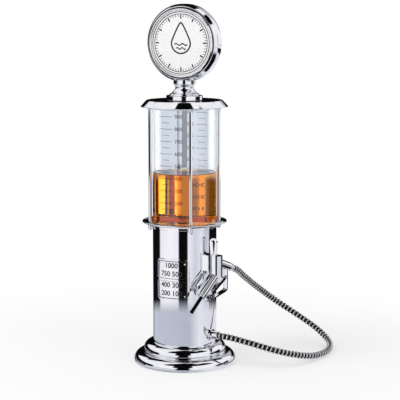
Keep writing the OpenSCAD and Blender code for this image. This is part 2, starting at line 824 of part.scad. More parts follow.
module neck() {
    foot_r = neck_foot_d / 2;
    waist_r = neck_waist_d / 2;
    head_r = neck_head_d / 2;
    waist_z = cap_top + waist_h;
    foot_z = cap_top + neck_foot_h;
    head_z = neck_top - neck_head_h;
    steps = 8;
    profile = concat(
        [[0, cap_top], [foot_r, cap_top], [foot_r, foot_z]],
        [for (i = [1:steps - 1]) let (t = i / steps)
            [waist_r + (foot_r - waist_r) * (1 - sin(90 * t)), foot_z + (waist_z - foot_z) * t]],
        [for (i = [0:steps]) let (t = i / steps)
            [waist_r + (head_r - waist_r) * (1 - cos(90 * t)), waist_z + (head_z - waist_z) * t]],
        [[head_r, neck_top + neck_saddle], [0, neck_top + neck_saddle]]
    );
    color(chrome) difference() {
        rotate_extrude() polygon(profile);
        at_sign() cylinder(r = globe_r + fit, h = globe_t + 2 * fit, center = true);
        translate([0, 0, lid_top]) cylinder(r = stud_d / 2 + fit, h = through);
    }
}
module sign_stud() {
    low = cap_z + stud_lift;
    color("gray") translate([0, 0, low]) cylinder(r = stud_d / 2, h = stud_top - low);
}
module stud_nuts() {
    color("gray") for (z = [cap_z + stud_pocket - nut_t, flat_z]) translate([0, 0, z]) difference() {
        cylinder(r = stud_nut_r, h = nut_t, $fn = 6);
        translate([0, 0, -overlap]) cylinder(r = stud_d / 2 + fit, h = nut_t + 2 * overlap);
    }
}
bezel_r = bezel_d / 2;
face_r = face_d / 2;
face_z = half_t - bezel_t - face_t + bezel_proud;
module sign_rim() {
    seat_r = face_r - face_seat_w;
    seat_low = face_z - face_seat_t;
    half = concat(
        arc([globe_r - rim_edge, half_t - rim_edge], rim_edge, 0, 90, 6),
        [[bezel_r + fit, half_t], [bezel_r + fit, face_z], [seat_r, face_z], [seat_r, seat_low]],
        [[globe_r - rim_wall, seat_low]]
    );
    other_half = [for (i = [len(half) - 1:-1:0]) [half[i][0], -half[i][1]]];
    color(chrome) difference() {
        at_sign() rotate_extrude() polygon(concat(half, other_half));
        translate([0, 0, neck_top - overlap]) cylinder(r = stud_d / 2 + fit, h = through);
        translate([0, 0, flat_z]) cylinder(r = stud_nut_r + nut_room, h = nut_t + nut_headroom);
    }
}
module bezel() {
    top = half_t + bezel_proud;
    color(chrome) rotate_extrude() polygon(concat(
        [[face_r, face_z + face_t], [bezel_r, face_z + face_t]],
        arc([bezel_r - bezel_edge, top - bezel_edge], bezel_edge, 0, 90, 4),
        arc([face_r + bezel_edge, top - bezel_edge], bezel_edge, 90, 180, 4)
    ));
}
module face_disc() {
    color("white") translate([0, 0, face_z]) cylinder(r = bezel_r - fit, h = face_t);
}
module front_bezel() { at_sign() bezel(); }
module front_face() { at_sign() face_disc(); }
module back_bezel() { at_sign() rotate([180, 0, 0]) bezel(); }
module back_face() { at_sign() rotate([180, 0, 0]) face_disc(); }

// Holder on the body, and the stud of the nozzle that drops into it
module holder_screw_places() {
    for (x = [-1, 1]) at_side()
        let (sx = nozzle_x + x * holder_screw_x)
        let (sy = sqrt(body_in_r ^ 2 - (abs(sx) + screw_head_r) ^ 2) - fit)
        translate([sx, sy, holder_z + holder_screw_rise]) rotate([-90, 0, 0]) children();
}
module holder() {
    slot_r = hang_head_d / 2 + gap;
    slot_y = hang_head_y - gap;
    neck_r = hang_shank_d / 2 + gap;
    color("darkgray") difference() {
        at_side() difference() {
            translate([nozzle_x - holder_w / 2, 0, holder_z]) cube([holder_w, holder_face_y, holder_h]);
            cylinder(r = body_r + fit, h = 2 * holder_z);
            translate([nozzle_x, 0, 0]) {
                outwards(slot_y, hang_z) cylinder(r = slot_r, h = lip_y - slot_y);
                translate([-slot_r, slot_y, hang_z]) cube([2 * slot_r, lip_y - slot_y, holder_h]);
                outwards(hang_head_y, hang_z) cylinder(r = neck_r, h = holder_face_y);
                translate([-neck_r, hang_head_y, hang_z]) cube([2 * neck_r, holder_face_y, holder_h]);
            }
        }
        holder_screw_places() cylinder(r = screw_r + fit, h = holder_screw_l + fit);
    }
}
module holder_screws() {
    color("gray") holder_screw_places() {
        cylinder(r = screw_r, h = holder_screw_l);
        translate([0, 0, -screw_head_h]) cylinder(r = screw_head_r, h = screw_head_h);
    }
}
module hang_stud() {
    color("darkgray") at_side() translate([nozzle_x, 0, 0]) {
        outwards(hang_head_y, hang_z) cylinder(r = hang_head_d / 2, h = hang_head_t);
        outwards(hang_head_y, hang_z) cylinder(
            r = hang_shank_d / 2, h = nozzle_y - housing_d / 2 + hang_seat - fit - hang_head_y
        );
    }
}

// Hose: one closed skin with its ribs outside and its bore inside
module hose() {
    inner = hose_rings * hose_sides;
    last_outer = (hose_rings - 1) * hose_sides;
    last_inner = inner + (bore_rings - 1) * hose_sides;
    faces = concat(
        skin_faces(0, hose_rings, hose_sides),
        skin_faces(inner, bore_rings, hose_sides, inward = true),
        [for (k = [0:hose_sides - 1]) let (n = (k + 1) % hose_sides) each [
            [k, n, inner + k],
            [n, inner + n, inner + k]
        ]],
        [for (k = [0:hose_sides - 1]) let (n = (k + 1) % hose_sides) each [
            [last_outer + k, last_inner + k, last_outer + n],
            [last_outer + n, last_inner + k, last_inner + n]
        ]]
    );
    color("lightgray") polyhedron(points = concat(hose_outer, hose_inner), faces = faces);
}

// Nozzle
module trigger_ears() {
    for (y = [-1, 1]) translate([0, y * (trigger_w / 2 + gap + ear_t / 2), 0]) along_barrel(pivot_l) {
        translate([0, -ear_t / 2, -ear_r]) cube([pivot_drop, ear_t, 2 * ear_r]);
        translate([pivot_drop, 0, 0]) rotate([90, 0, 0]) cylinder(r = ear_r, h = ear_t, center = true);
    }
}
module at_pivot() {
    translate([pivot_x, 0, pivot_z]) children();
}
module nozzle_body() {
    color(chrome) at_nozzle() difference() {
        union() {
            translate([0, 0, housing_z]) cylinder(r = housing_d / 2, h = housing_h);
            along_barrel(0) cylinder(r = barrel_d / 2, h = barrel_l);
            along_handle(handle_d / 2) cylinder(r = handle_d / 2, h = handle_l - handle_d / 2);
            along_handle(handle_l - overlap) cylinder(r = stub_r, h = ferrule_l + overlap - fit);
            trigger_ears();
        }
        translate([0, 0, valve_seat_z]) cylinder(r = chamber_d / 2, h = housing_h);
        translate([0, 0, housing_z + seat_floor]) cylinder(r = seat_d / 2, h = housing_h);
        translate([0, 0, pivot_z]) cylinder(r = stem_d / 2 + run, h = valve_seat_z - pivot_z);
        along_barrel(0) cylinder(r = spout_d / 2 + fit, h = barrel_l + overlap);
        along_handle(handle_d / 2) cylinder(r = fitting_bore / 2, h = hose_end_l);
        at_pivot() rotate([90, 0, 0]) cylinder(r = pin_d / 2 + fit, h = 4 * trigger_w, center = true);
        outwards(-housing_d / 2 - overlap, hang_z)
            cylinder(r = hang_shank_d / 2 + fit, h = hang_seat + overlap);
    }
}
module lift_eye_shape(t) {
    top_r = lift_eye_w / 2;
    polygon(concat(
        [[lift_eye_foot / 2 - t, t - overlap]],
        arc([0, lift_eye_h - top_r], top_r - t, 0, 180, 12),
        [[t - lift_eye_foot / 2, t - overlap]]
    ));
}
module valve_cap() {
    color(chrome) at_nozzle() {
        translate([0, -lift_eye_inset, housing_top + valve_cap_h]) rotate([90, 0, 90])
            linear_extrude(lift_eye_depth, center = true) difference() {
                lift_eye_shape(0);
                lift_eye_shape(lift_eye_t);
            }
        translate([0, 0, housing_top]) cylinder(r = housing_d / 2, h = valve_cap_h);
        translate([0, 0, housing_top - valve_plug_h])
            cylinder(r = chamber_d / 2 - fit, h = valve_plug_h + overlap);
    }
}
washer_z = valve_seat_z + fit;
head_z = washer_z + washer_t;
head_top = head_z + plunger_head_t;
module valve_washer() {
    color(rubber) at_nozzle() translate([0, 0, washer_z])
        pipe(chamber_d / 2 - head_clear, stem_d / 2 + fit, washer_t - fit);
}
module valve_plunger() {
    color("gold") at_nozzle() {
        translate([0, 0, stem_bottom]) cylinder(r = stem_d / 2, h = head_top - stem_bottom);
        translate([0, 0, head_z]) cylinder(r = chamber_d / 2 - head_clear, h = plunger_head_t);
    }
}
module valve_spring() {
    low = head_top + fit + wire_r;
    high = housing_top - valve_plug_h - fit - wire_r;
    coil_r = chamber_d / 2 - coil_clear;
    rings = turn_rings * spring_turns + 1;
    points = [
        for (i = [0:rings - 1])
            let (a = 360 / turn_rings * i, z = low + (high - low) * i / (rings - 1))
            each ring([coil_r * cos(a), coil_r * sin(a), z], [-sin(a), cos(a), 0], wire_r, spring_sides)
    ];
    last = (rings - 1) * spring_sides;
    faces = concat(
        skin_faces(0, rings, spring_sides),
        [for (k = [1:spring_sides - 2]) [0, k, k + 1]],
        [for (k = [1:spring_sides - 2]) [last, last + k + 1, last + k]]
    );
    echo(spring_self_gap = (high - low) / spring_turns - 2 * wire_r);
    color("gray") at_nozzle() polyhedron(points = points, faces = faces);
}
module trigger() {
    eye_r = pin_d / 2 + eye_wall;
    color(chrome) at_nozzle() at_pivot() difference() {
        rotate([0, trigger_angle, 0]) union() {
            rotate([90, 0, 0]) cylinder(r = eye_r, h = trigger_w, center = true);
            translate([-trigger_l, -trigger_w / 2, -trigger_t / 2]) cube([trigger_l, trigger_w, trigger_t]);
            translate([-trigger_l, 0, 0]) rotate([90, 0, 0])
                cylinder(r = trigger_t / 2, h = trigger_w, center = true);
        }
        rotate([90, 0, 0]) cylinder(r = pin_d / 2 + run, h = 2 * trigger_w, center = true);
    }
}
module trigger_pin() {
    length = trigger_w + 2 * (gap + ear_t + pin_head);
    color("gray") at_nozzle() at_pivot() rotate([90, 0, 0])
        cylinder(r = pin_d / 2, h = length, center = true);
}
module trigger_guard() {
    corner = guard_corner;
    rear = [guard_rear + corner, guard_bottom + guard_rise + corner];
    front = [guard_front - 2 * corner, guard_bottom + corner];
    fall = atan((rear[1] - front[1]) / (front[0] - rear[0]));
    // The strip's outer line, and the same line drawn in by the strip's thickness
    function line(t) = concat(
        [[guard_rear + t, handle_start_z]],
        arc(rear, corner - t, 180, 270 - fall, 6),
        arc(front, corner - t, 270 - fall, 270 + guard_bend, 4),
        arc([guard_front - corner, guard_bottom + 2 * corner], corner - t, 270 + guard_bend, 360, 5),
        [[guard_front - t, barrel_start_z - guard_front * tan(barrel_angle)]]
    );
    inner = line(guard_t);
    color(chrome) at_nozzle() difference() {
        rotate([90, 0, 0]) linear_extrude(trigger_w, center = true)
            polygon(concat(line(0), [for (i = [len(inner) - 1:-1:0]) inner[i]]));
        along_handle(0) cylinder(r = handle_d / 2 + fit, h = 2 * handle_l);
        along_barrel(0) cylinder(r = barrel_d / 2 + fit, h = barrel_l);
        along_handle(0) translate([0, -trigger_w, 0]) cube([handle_l, 2 * trigger_w, 2 * handle_l]);
    }
}
module spout_nut() {
    color(chrome) at_nozzle() along_barrel(barrel_l) pipe(spout_nut_d / 2, spout_d / 2 + fit, spout_nut_l);
}
module spout_tube() {
    color(chrome) at_nozzle() along_barrel(barrel_l - spout_seat)
        pipe(spout_d / 2, spout_d / 2 - spout_wall, spout_seat + spout_l);
}
module nozzle_ferrule() {
    color(chrome) at_nozzle() along_handle(handle_l) pipe(ferrule_d / 2, stub_r + fit, ferrule_l);
}

base_pad();
closing_plate();
closing_screws();
base();
body_tube();
front_plate();
plate_rivets();
outlet_fitting();
outlet_washer();
outlet_nut();
outlet_ferrule();
feed_tube();
drain_fitting();
drain_gasket();
drain_nut();
collar();
bottom_gasket();
glass_cylinder();
top_gasket();
lid();
tie_rod_1();
tie_rod_2();
tie_rod_3();
tie_rod_4();
rod_nuts();
holder();
holder_screws();
hose();
filler_cap();
filler_plug();
filler_seal();
neck();
sign_stud();
stud_nuts();
sign_rim();
front_bezel();
front_face();
back_bezel();
back_face();
nozzle_body();
valve_cap();
valve_spring();
hang_stud();
trigger_guard();
trigger_pin();
spout_nut();
spout_tube();
nozzle_ferrule();
valve_plunger();
valve_washer();
trigger();
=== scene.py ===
# %% [markdown]
# # A table-top drinks dispenser
# The dispenser is a chromed pedestal with a clear graduated reservoir, a ribbed metal hose and a hand
# nozzle. The frame holds every piece at its real size, so each step here only dresses what is there:
# a piece takes its place from the frame, gets a finer shape, and then a finish.

# %% Load the frame
import json
import math

import bpy
from mathutils import Matrix, Vector


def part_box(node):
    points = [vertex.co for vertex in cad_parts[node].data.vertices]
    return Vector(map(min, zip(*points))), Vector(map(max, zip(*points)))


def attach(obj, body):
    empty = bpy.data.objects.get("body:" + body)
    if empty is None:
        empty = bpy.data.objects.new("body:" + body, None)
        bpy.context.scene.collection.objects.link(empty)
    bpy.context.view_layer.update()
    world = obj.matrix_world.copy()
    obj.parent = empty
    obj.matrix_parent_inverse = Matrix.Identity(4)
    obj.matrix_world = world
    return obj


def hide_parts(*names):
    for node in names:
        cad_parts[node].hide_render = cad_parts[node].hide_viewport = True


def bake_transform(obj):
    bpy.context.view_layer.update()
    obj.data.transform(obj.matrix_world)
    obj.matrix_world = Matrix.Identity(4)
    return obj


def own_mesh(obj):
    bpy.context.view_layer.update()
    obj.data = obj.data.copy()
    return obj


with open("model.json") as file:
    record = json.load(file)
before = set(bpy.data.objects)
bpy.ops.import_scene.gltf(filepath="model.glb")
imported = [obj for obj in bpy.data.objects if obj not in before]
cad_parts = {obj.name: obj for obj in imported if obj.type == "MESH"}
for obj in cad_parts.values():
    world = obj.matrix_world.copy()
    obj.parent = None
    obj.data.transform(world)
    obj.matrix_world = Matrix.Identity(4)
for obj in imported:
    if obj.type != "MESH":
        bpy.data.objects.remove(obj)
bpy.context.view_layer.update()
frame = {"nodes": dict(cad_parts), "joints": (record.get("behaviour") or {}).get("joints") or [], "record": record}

# %% [markdown]
# The camera stands a little above the sign, to the right of the front, and looks down on the object.
# It could be aimed by a constraint, but a place, a turn and a tilt are plain numbers that stay put.

# %% Camera
CAMERA_DISTANCE = 1.855
CAMERA_HEIGHT = 0.504
CAMERA_SIDE = math.radians(24.5)
CAMERA_TURN = math.radians(-0.674)
CAMERA_TILT = math.radians(8.326)
FRAME_PIXELS = 400
FOCAL_PIXELS = 1322
SENSOR_WIDTH = 36.0

bpy.ops.object.select_all(action="DESELECT")
bpy.ops.object.camera_add(
    location=(
        CAMERA_DISTANCE * math.sin(CAMERA_SIDE),
        -CAMERA_DISTANCE * math.cos(CAMERA_SIDE),
        CAMERA_HEIGHT,
    ),
    rotation=(math.pi / 2 - CAMERA_TILT, 0, CAMERA_SIDE + CAMERA_TURN),
)
camera = bpy.context.object
camera.data.sensor_width = SENSOR_WIDTH
camera.data.lens = SENSOR_WIDTH * FOCAL_PIXELS / FRAME_PIXELS
bpy.context.scene.camera = camera
bpy.context.scene.view_settings.view_transform = "Standard"
print("camera lens:", round(camera.data.lens, 1), "mm")

# %% [markdown]
# Hose and nozzle share one side of the body. The trigger's hinge runs straight out from that side, so
# its axis gives the outward direction, and a quarter turn of it points ahead, to the spout.

# %% The side frame
MM = 0.001
trigger_hinge = next(j for j in frame["joints"] if j["name"] == "trigger_pull")
OUT = Vector(trigger_hinge["axis"]).normalized()
AHEAD = Vector((OUT.y, -OUT.x, 0))
UP = Vector((0, 0, 1))


def middle(node):
    """Centre of a node's box."""
    low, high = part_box(node)
    return (low + high) / 2


def farthest(node, direction):
    """How far a node reaches in a direction."""
    return max(v.co.dot(direction) for v in frame["nodes"][node].data.vertices)


VALVE = middle("valve_plunger")
VALVE.z = 0
print("valve axis at", [round(v, 4) for v in VALVE])

# %% [markdown]
# The hose is an interlocked metal strip: a row of rounded ribs with dark gaps. Its route is a list of
# given points, with a smooth curve through them. A curve with a bevel would lose the ribs, so the skin is
# built ring by ring along the curve.

# %% Hose route
HANDLE_SLOPE = math.radians(20)
HANDLE_HEIGHT = 151.5 * MM
HANDLE_REACH = 40 * MM
HOSE_DIAMETER = 9.5 * MM
HOSE_POINTS = [
    (0.103, -0.0095, 0.0375), (0.134, 0.008, 0.026), (0.156, 0.036, 0.015), (0.171, 0.069, 0.007),
    (0.1785, 0.1055, 0.0055), (0.172, 0.1415, 0.009), (0.147, 0.1645, 0.021), (0.115, 0.167, 0.039),
    (0.090, 0.150, 0.060), (0.0765, 0.1225, 0.0805), (0.070, 0.091, 0.0995), (0.068, 0.058, 0.1175),
]
CURVE_STEPS = 12

REARWARD = -math.cos(HANDLE_SLOPE) * AHEAD - math.sin(HANDLE_SLOPE) * UP
hose_start = OUT * farthest("outlet_ferrule", OUT) + UP * middle("outlet_ferrule").z
hose_end = VALVE + UP * HANDLE_HEIGHT + REARWARD * HANDLE_REACH


def smooth_route(start, start_way, points, end, end_way):
    """A smooth curve through the points, straight for one diameter at both ends."""
    knots = [start + start_way * HOSE_DIAMETER]
    knots += [Vector(p) for p in points]
    knots += [end + end_way * HOSE_DIAMETER]
    slopes = [(b - a) / 2 for a, b in zip(knots, knots[2:])]
    slopes.insert(0, start_way * (knots[1] - knots[0]).length)
    slopes.append(-end_way * (knots[-1] - knots[-2]).length)
    curve = [start]
    for i in range(len(knots) - 1):
        for k in range(CURVE_STEPS):
            t = k / CURVE_STEPS
            curve.append(
                (2 * t**3 - 3 * t**2 + 1) * knots[i]
                + (t**3 - 2 * t**2 + t) * slopes[i]
                + (3 * t**2 - 2 * t**3) * knots[i + 1]
                + (t**3 - t**2) * slopes[i + 1]
            )
    return curve + [knots[-1], end]


hose_route = smooth_route(hose_start, OUT, HOSE_POINTS, hose_end, REARWARD)
hose_marks = [0.0]
for a, b in zip(hose_route, hose_route[1:]):
    hose_marks.append(hose_marks[-1] + (b - a).length)
hose_length = hose_marks[-1]
print("hose length:", round(hose_length, 4), "m")

# %% Hose skin
RIB_COUNT = 80
HOSE_SIDES = 28
# Share of one rib's pitch, and radius there in millimetres: gap, rounded shoulder, crown, shoulder, gap
RIB_SECTION = [
    (0.00, 3.75), (0.30, 3.75), (0.32, 4.20), (0.36, 4.55), (0.42, 4.71), (0.50, 4.75),
    (0.58, 4.71), (0.64, 4.55), (0.68, 4.20), (0.70, 3.75),
]
GAP_RINGS = {0, 9}


def along_hose(distance):
    """Place on the hose at a distance from its start."""
    i = next(k for k in range(1, len(hose_marks)) if hose_marks[k] >= distance - 1e-9)
    step = hose_route[i] - hose_route[i - 1]
    share = (distance - hose_marks[i - 1]) / step.length
    return hose_route[i - 1] + step * share


def hose_ring(distance, radius):
    """Points of one ring round the hose."""
    near = along_hose(max(distance - MM, 0))
    far = along_hose(min(distance + MM, hose_length))
    way = (far - near).normalized()
    across = way.cross(UP).normalized()
    over = across.cross(way)
    centre = along_hose(distance)
    turns = [2 * math.pi * k / HOSE_SIDES for k in range(HOSE_SIDES)]
    return [centre + radius * (math.cos(a) * across + math.sin(a) * over) for a in turns]


def hose_mesh():
    """The ribbed skin, its two ends closed, and for each face whether it lies in a gap."""
    pitch = hose_length / RIB_COUNT
    rings = []
    for rib in range(RIB_COUNT):
        rings += [((rib + share) * pitch, radius * MM) for share, radius in RIB_SECTION]
    rings.append((hose_length, RIB_SECTION[0][1] * MM))
    points = [p for distance, radius in rings for p in hose_ring(distance, radius)]
    faces = []
    for i in range(len(rings) - 1):
        near = i * HOSE_SIDES
        far = near + HOSE_SIDES
        for k in range(HOSE_SIDES):
            n = (k + 1) % HOSE_SIDES
            faces.append((near + k, near + n, far + n, far + k))
    last = (len(rings) - 1) * HOSE_SIDES
    faces.append(tuple(range(HOSE_SIDES))[::-1])
    faces.append(tuple(range(last, last + HOSE_SIDES)))
    mesh = bpy.data.meshes.new("ribbed_hose")
    mesh.from_pydata(points, [], faces)
    in_gap = []
    for i in range(len(rings) - 1):
        in_gap += [i % len(RIB_SECTION) in GAP_RINGS] * HOSE_SIDES
    return mesh, in_gap + [True, True]


# %% Selecting and editing


def choose(*objects):
    """Deselect everything, then select these, the first one active."""
    if bpy.context.object and bpy.context.object.mode != "OBJECT":
        bpy.ops.object.mode_set(mode="OBJECT")
    bpy.ops.object.select_all(action="DESELECT")
    for obj in objects:
        obj.select_set(True)
    bpy.context.view_layer.objects.active = objects[0]


def open_mesh(piece):
    """Open a piece in edit mode, with its whole mesh selected."""
    choose(piece)
    bpy.ops.object.mode_set(mode="EDIT")
    bpy.ops.mesh.select_all(action="SELECT")


def face_outward(piece):
    """Turn every face of a closed piece outward."""
    open_mesh(piece)
    bpy.ops.mesh.normals_make_consistent(inside=False)
    bpy.ops.object.mode_set(mode="OBJECT")


# %% Hose piece
# Edges steeper than this stay sharp on hose and spring
WOUND_SHARP = math.radians(50)

hose_skin, face_in_gap = hose_mesh()
hose = bpy.data.objects.new("ribbed_hose", hose_skin)
bpy.context.scene.collection.objects.link(hose)
# Faces in the gaps take the second finish, whose near-black colour is painted shade
for polygon, in_gap in zip(hose_skin.polygons, face_in_gap):
    polygon.material_index = 1 if in_gap else 0
face_outward(hose)
bpy.ops.object.shade_smooth_by_angle(angle=WOUND_SHARP)

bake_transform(hose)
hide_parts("hose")
print("hose:", len(hose_skin.polygons), "faces")

# %% [markdown]
# Mirror chrome shows nothing but its surroundings, so a studio stands white cards and black flags round it.
# They could be planes, but planes show in other views and shade the object. Here the world holds them, as
# colours by bearing and height, and only reflections see them, while the camera sees plain white. Glass gets
# a backlight of its own: the drink works as a lens and draws its bright and dark parts out to upright bands.

# %% Colours and nodes


def hex_colour(text):
    """An sRGB hex colour as linear red, green, blue and alpha."""
    parts = [int(text[i:i + 2], 16) / 255 for i in (1, 3, 5)]
    return [p / 12.92 if p <= 0.04045 else ((p + 0.055) / 1.055) ** 2.4 for p in parts] + [1.0]


def add(tree, kind, inputs=None, stops=None, **settings):
    """Add one node, with its settings, its ramp's stops, and its inputs as values or links."""
    node = tree.nodes.new(kind)
    for name, value in settings.items():
        setattr(node, name, value)
    for key, value in (inputs or {}).items():
        if isinstance(value, bpy.types.NodeSocket):
            tree.links.new(value, node.inputs[key])
        else:
            node.inputs[key].default_value = value
    if stops:
        elements = node.color_ramp.elements
        while len(elements) < len(stops):
            elements.new(1.0)
        for element, (position, colour) in zip(elements, stops):
            element.position = position
            element.color = hex_colour(colour)
    return node


# %% Studio walls
FLAG = "#08080A"
CARD = "#F8F8FB"
WHITE = "#FFFFFF"
# Stops are bearings in degrees, 0 towards the camera and 90 to its right
LOW_WALLS = [
    (-180, FLAG), (-103, "#101014"), (-98, "#F4F3F8"), (-60, WHITE), (-24, "#F6F5FA"), (-20, FLAG),
    (9, "#0B0B0E"), (13, "#F6F7FC"), (38, "#D6D8E2"), (62, "#ECECF3"), (84, "#C6C6D2"), (96, "#DCDCE6"),
    (101, "#121216"), (180, FLAG),
]
ROD_WALLS = [
    (-180, "#9A9AA0"), (-112, "#D0D0D6"), (-104, FLAG), (14, FLAG), (22, WHITE), (150, "#F4F4F8"),
    (180, "#9A9AA0"),
]
HIGH_WALLS = [
    (-180, FLAG), (-80, "#0C0C10"), (-72, CARD), (-21, WHITE), (-16, FLAG), (8, "#0A0A0D"), (13, WHITE),
    (70, "#F6F6FA"), (78, "#101014"), (114, "#101014"), (119, CARD), (141, CARD), (146, "#0A0A0D"),
    (180, FLAG),
]
SKY = [
    (-180, FLAG), (-150, FLAG), (-145, CARD), (-30, WHITE), (-26, FLAG), (16, FLAG), (20, WHITE), (144, CARD),
    (149, "#B8B8BE"), (168, "#B8B8BE"), (173, FLAG), (180, FLAG),
]
FRONT_SHADE = [
    (-180, FLAG), (-129, FLAG), (-124, CARD), (-62, CARD), (-56, FLAG), (80, FLAG), (86, CARD), (124, CARD),
    (129, FLAG), (180, FLAG),
]
ZENITH = [
    (-180, FLAG), (-129, FLAG), (-124, CARD), (-56, WHITE), (-52, FLAG), (50, FLAG), (54, WHITE), (124, CARD),
    (129, FLAG), (180, FLAG),
]

# %% Table and backlight
NEAR_FLAG = "#0A0A0C"
HAZE = "#80848C"
CLEAR_HAZE = "#878B93"
TABLE = [
    (-180, "#6A6C72"), (-152, "#9A9DA6"), (-138, "#C8CDD8"), (-60, "#C2C7D2"), (18, "#BCC1CD"),
    (55, "#EFEEF5"), (114, "#E0E0E9"), (150, "#E8E8EE"), (172, "#DADAE2"), (180, "#8A8A90"),
]
NEAR_TABLE = [
    (-180, NEAR_FLAG), (-106, NEAR_FLAG), (-100, "#F6F6F9"), (16, "#F6F6F9"), (22, NEAR_FLAG),
    (136, NEAR_FLAG), (141, "#F0F0F4"), (168, "#F0F0F4"), (173, NEAR_FLAG), (180, NEAR_FLAG),
]
DRINK_BACKLIGHT = [
    (-180, HAZE), (-177.5, HAZE), (-175.5, "#6E6C6C"), (-168, "#6A6A6A"), (-164, "#B4B4B4"),
    (-159, "#AAAAAA"), (-155, "#504C48"), (-100, "#2A2A2C"), (-85, HAZE), (85, HAZE), (100, "#101012"),
    (144.5, "#0C0C0C"), (148, WHITE), (172, WHITE), (174, "#A7A7A7"), (176, "#A7A7A7"), (177.5, HAZE),
    (180, HAZE),
]
CLEAR_BACKLIGHT = [
    (-180, CLEAR_HAZE), (-175.5, CLEAR_HAZE), (-174, "#AEAEB0"), (-155, "#AEAEB0"), (-145, "#8A8D94"),
    (-90, "#8A8D94"), (90, "#8A8D94"), (150, "#8A8D94"), (160, "#ACACAF"), (174, "#ACACAF"),
    (175.3, "#74777F"), (177, HAZE), (178.5, CLEAR_HAZE), (180, CLEAR_HAZE),
]
# A narrow grey card straight behind the clear glass; a list of stops is too coarse for it
STRIP_EDGES = (179.66, 179.74)
STRIP_GREY = "#555860"

# %% Bearings
world = bpy.data.worlds.new("studio")
bpy.context.scene.world = world
world.use_nodes = True
tree = world.node_tree
tree.nodes.clear()
way = add(tree, "ShaderNodeTexCoord").outputs["Generated"]
turned = add(
    tree, "ShaderNodeVectorRotate", {"Vector": way, "Angle": -CAMERA_SIDE}, rotation_type="Z_AXIS"
).outputs["Vector"]
axes = add(tree, "ShaderNodeSeparateXYZ", {"Vector": turned})
toward = add(tree, "ShaderNodeMath", {0: axes.outputs["Y"], 1: -1.0}, operation="MULTIPLY")
bearing = add(tree, "ShaderNodeMath", {0: axes.outputs["X"], 1: toward.outputs[0]}, operation="ARCTAN2")
turned_away = add(tree, "ShaderNodeMath", {0: bearing.outputs[0]}, operation="ABSOLUTE")
share = add(
    tree, "ShaderNodeMapRange",
    {"Value": bearing.outputs[0], "From Min": -math.pi, "From Max": math.pi, "To Min": 0.0, "To Max": 1.0},
)


def wall(stripes):
    """Colours round the studio, from a list of bearings."""
    stops = [((angle + 180) / 360, colour) for angle, colour in stripes]
    return add(tree, "ShaderNodeValToRGB", {"Fac": share.outputs["Result"]}, stops=stops).outputs["Color"]


def blended(lower, upper, height, softness):
    """One colour below a height in degrees and another above it, over a soft edge."""
    low, high = (math.sin(math.radians(height + side * softness)) for side in (-1, 1))
    factor = add(tree, "ShaderNodeMapRange", {"Value": axes.outputs["Z"], "From Min": low, "From Max": high})
    mixed = add(
        tree, "ShaderNodeMix", {"Factor": factor.outputs["Result"], 6: lower, 7: upper}, data_type="RGBA"
    )
    return mixed.outputs[2]


# %% Studio by height
# Heights in degrees: the camera looks down, so upright pieces reflect what lies below eye level
TABLE_NEARS = -22.0
TABLE_EDGE = -12.9
DRINK_EDGE = -7.35
ROD_TOP = -4.45
EYE_LEVEL = -4.0
SKY_EDGE = 15.0
SHADE_EDGE = 40.0
ZENITH_EDGE = 65.0

low_walls = wall(LOW_WALLS)
walls = blended(low_walls, wall(ROD_WALLS), DRINK_EDGE, softness=0.2)
walls = blended(walls, low_walls, ROD_TOP, softness=0.1)
walls = blended(walls, wall(HIGH_WALLS), EYE_LEVEL, softness=1.0)
walls = blended(walls, wall(SKY), SKY_EDGE, softness=2.0)
walls = blended(walls, wall(FRONT_SHADE), SHADE_EDGE, softness=2.0)
walls = blended(walls, wall(ZENITH), ZENITH_EDGE, softness=2.0)
table = blended(wall(NEAR_TABLE), wall(TABLE), TABLE_NEARS, softness=4.0)
studio = blended(table, walls, TABLE_EDGE, softness=0.25)

strip_start, strip_end = (math.radians(edge) for edge in STRIP_EDGES)
in_strip = add(
    tree, "ShaderNodeMapRange",
    {"Value": turned_away.outputs[0], "From Min": strip_start, "From Max": strip_end},
)
clear_glow = add(
    tree, "ShaderNodeMix",
    {"Factor": in_strip.outputs["Result"], 6: wall(CLEAR_BACKLIGHT), 7: hex_colour(STRIP_GREY)},
    data_type="RGBA",
)
glow = blended(wall(DRINK_BACKLIGHT), clear_glow.outputs[2], DRINK_EDGE, softness=0.1)

# %% World
FILL_STRENGTH = 0.72
STUDIO_STRENGTH = 1.1
BACKLIGHT_STRENGTH = 2.9

rays = add(tree, "ShaderNodeLightPath").outputs
fill = add(tree, "ShaderNodeBackground", {"Color": hex_colour(WHITE), "Strength": FILL_STRENGTH})
reflected = add(tree, "ShaderNodeBackground", {"Color": studio, "Strength": STUDIO_STRENGTH})
behind_glass = add(tree, "ShaderNodeBackground", {"Color": glow, "Strength": BACKLIGHT_STRENGTH})
backdrop = add(tree, "ShaderNodeBackground", {"Color": hex_colour(WHITE), "Strength": 1.0})
lit = add(
    tree, "ShaderNodeMixShader", {0: rays["Is Glossy Ray"], 1: fill.outputs[0], 2: reflected.outputs[0]}
)
through = add(
    tree, "ShaderNodeMixShader",
    {0: rays["Is Transmission Ray"], 1: lit.outputs[0], 2: behind_glass.outputs[0]},
)
seen = add(
    tree, "ShaderNodeMixShader", {0: rays["Is Camera Ray"], 1: through.outputs[0], 2: backdrop.outputs[0]}
)
add(tree, "ShaderNodeOutputWorld", {"Surface": seen.outputs[0]})
print("world:", len(tree.nodes), "nodes")

# %% [markdown]
# The floor is a sheet of seamless white paper. It could be a large plane, but its far edge would show as a
# horizon, so a disc fades to clear instead and the white behind it starts nowhere. Reflections don't see it,
# because the world already holds a table for them.

# %% Floor
FLOOR_RADIUS = 1.4
FADE_START = 0.22
FADE_END = 0.6
FLOOR_WHITENESS = 0.5

floor_paint = bpy.data.materials.new("matt_white_paper_sweep")
floor_paint.use_nodes = True
tree = floor_paint.node_tree
tree.nodes.clear()
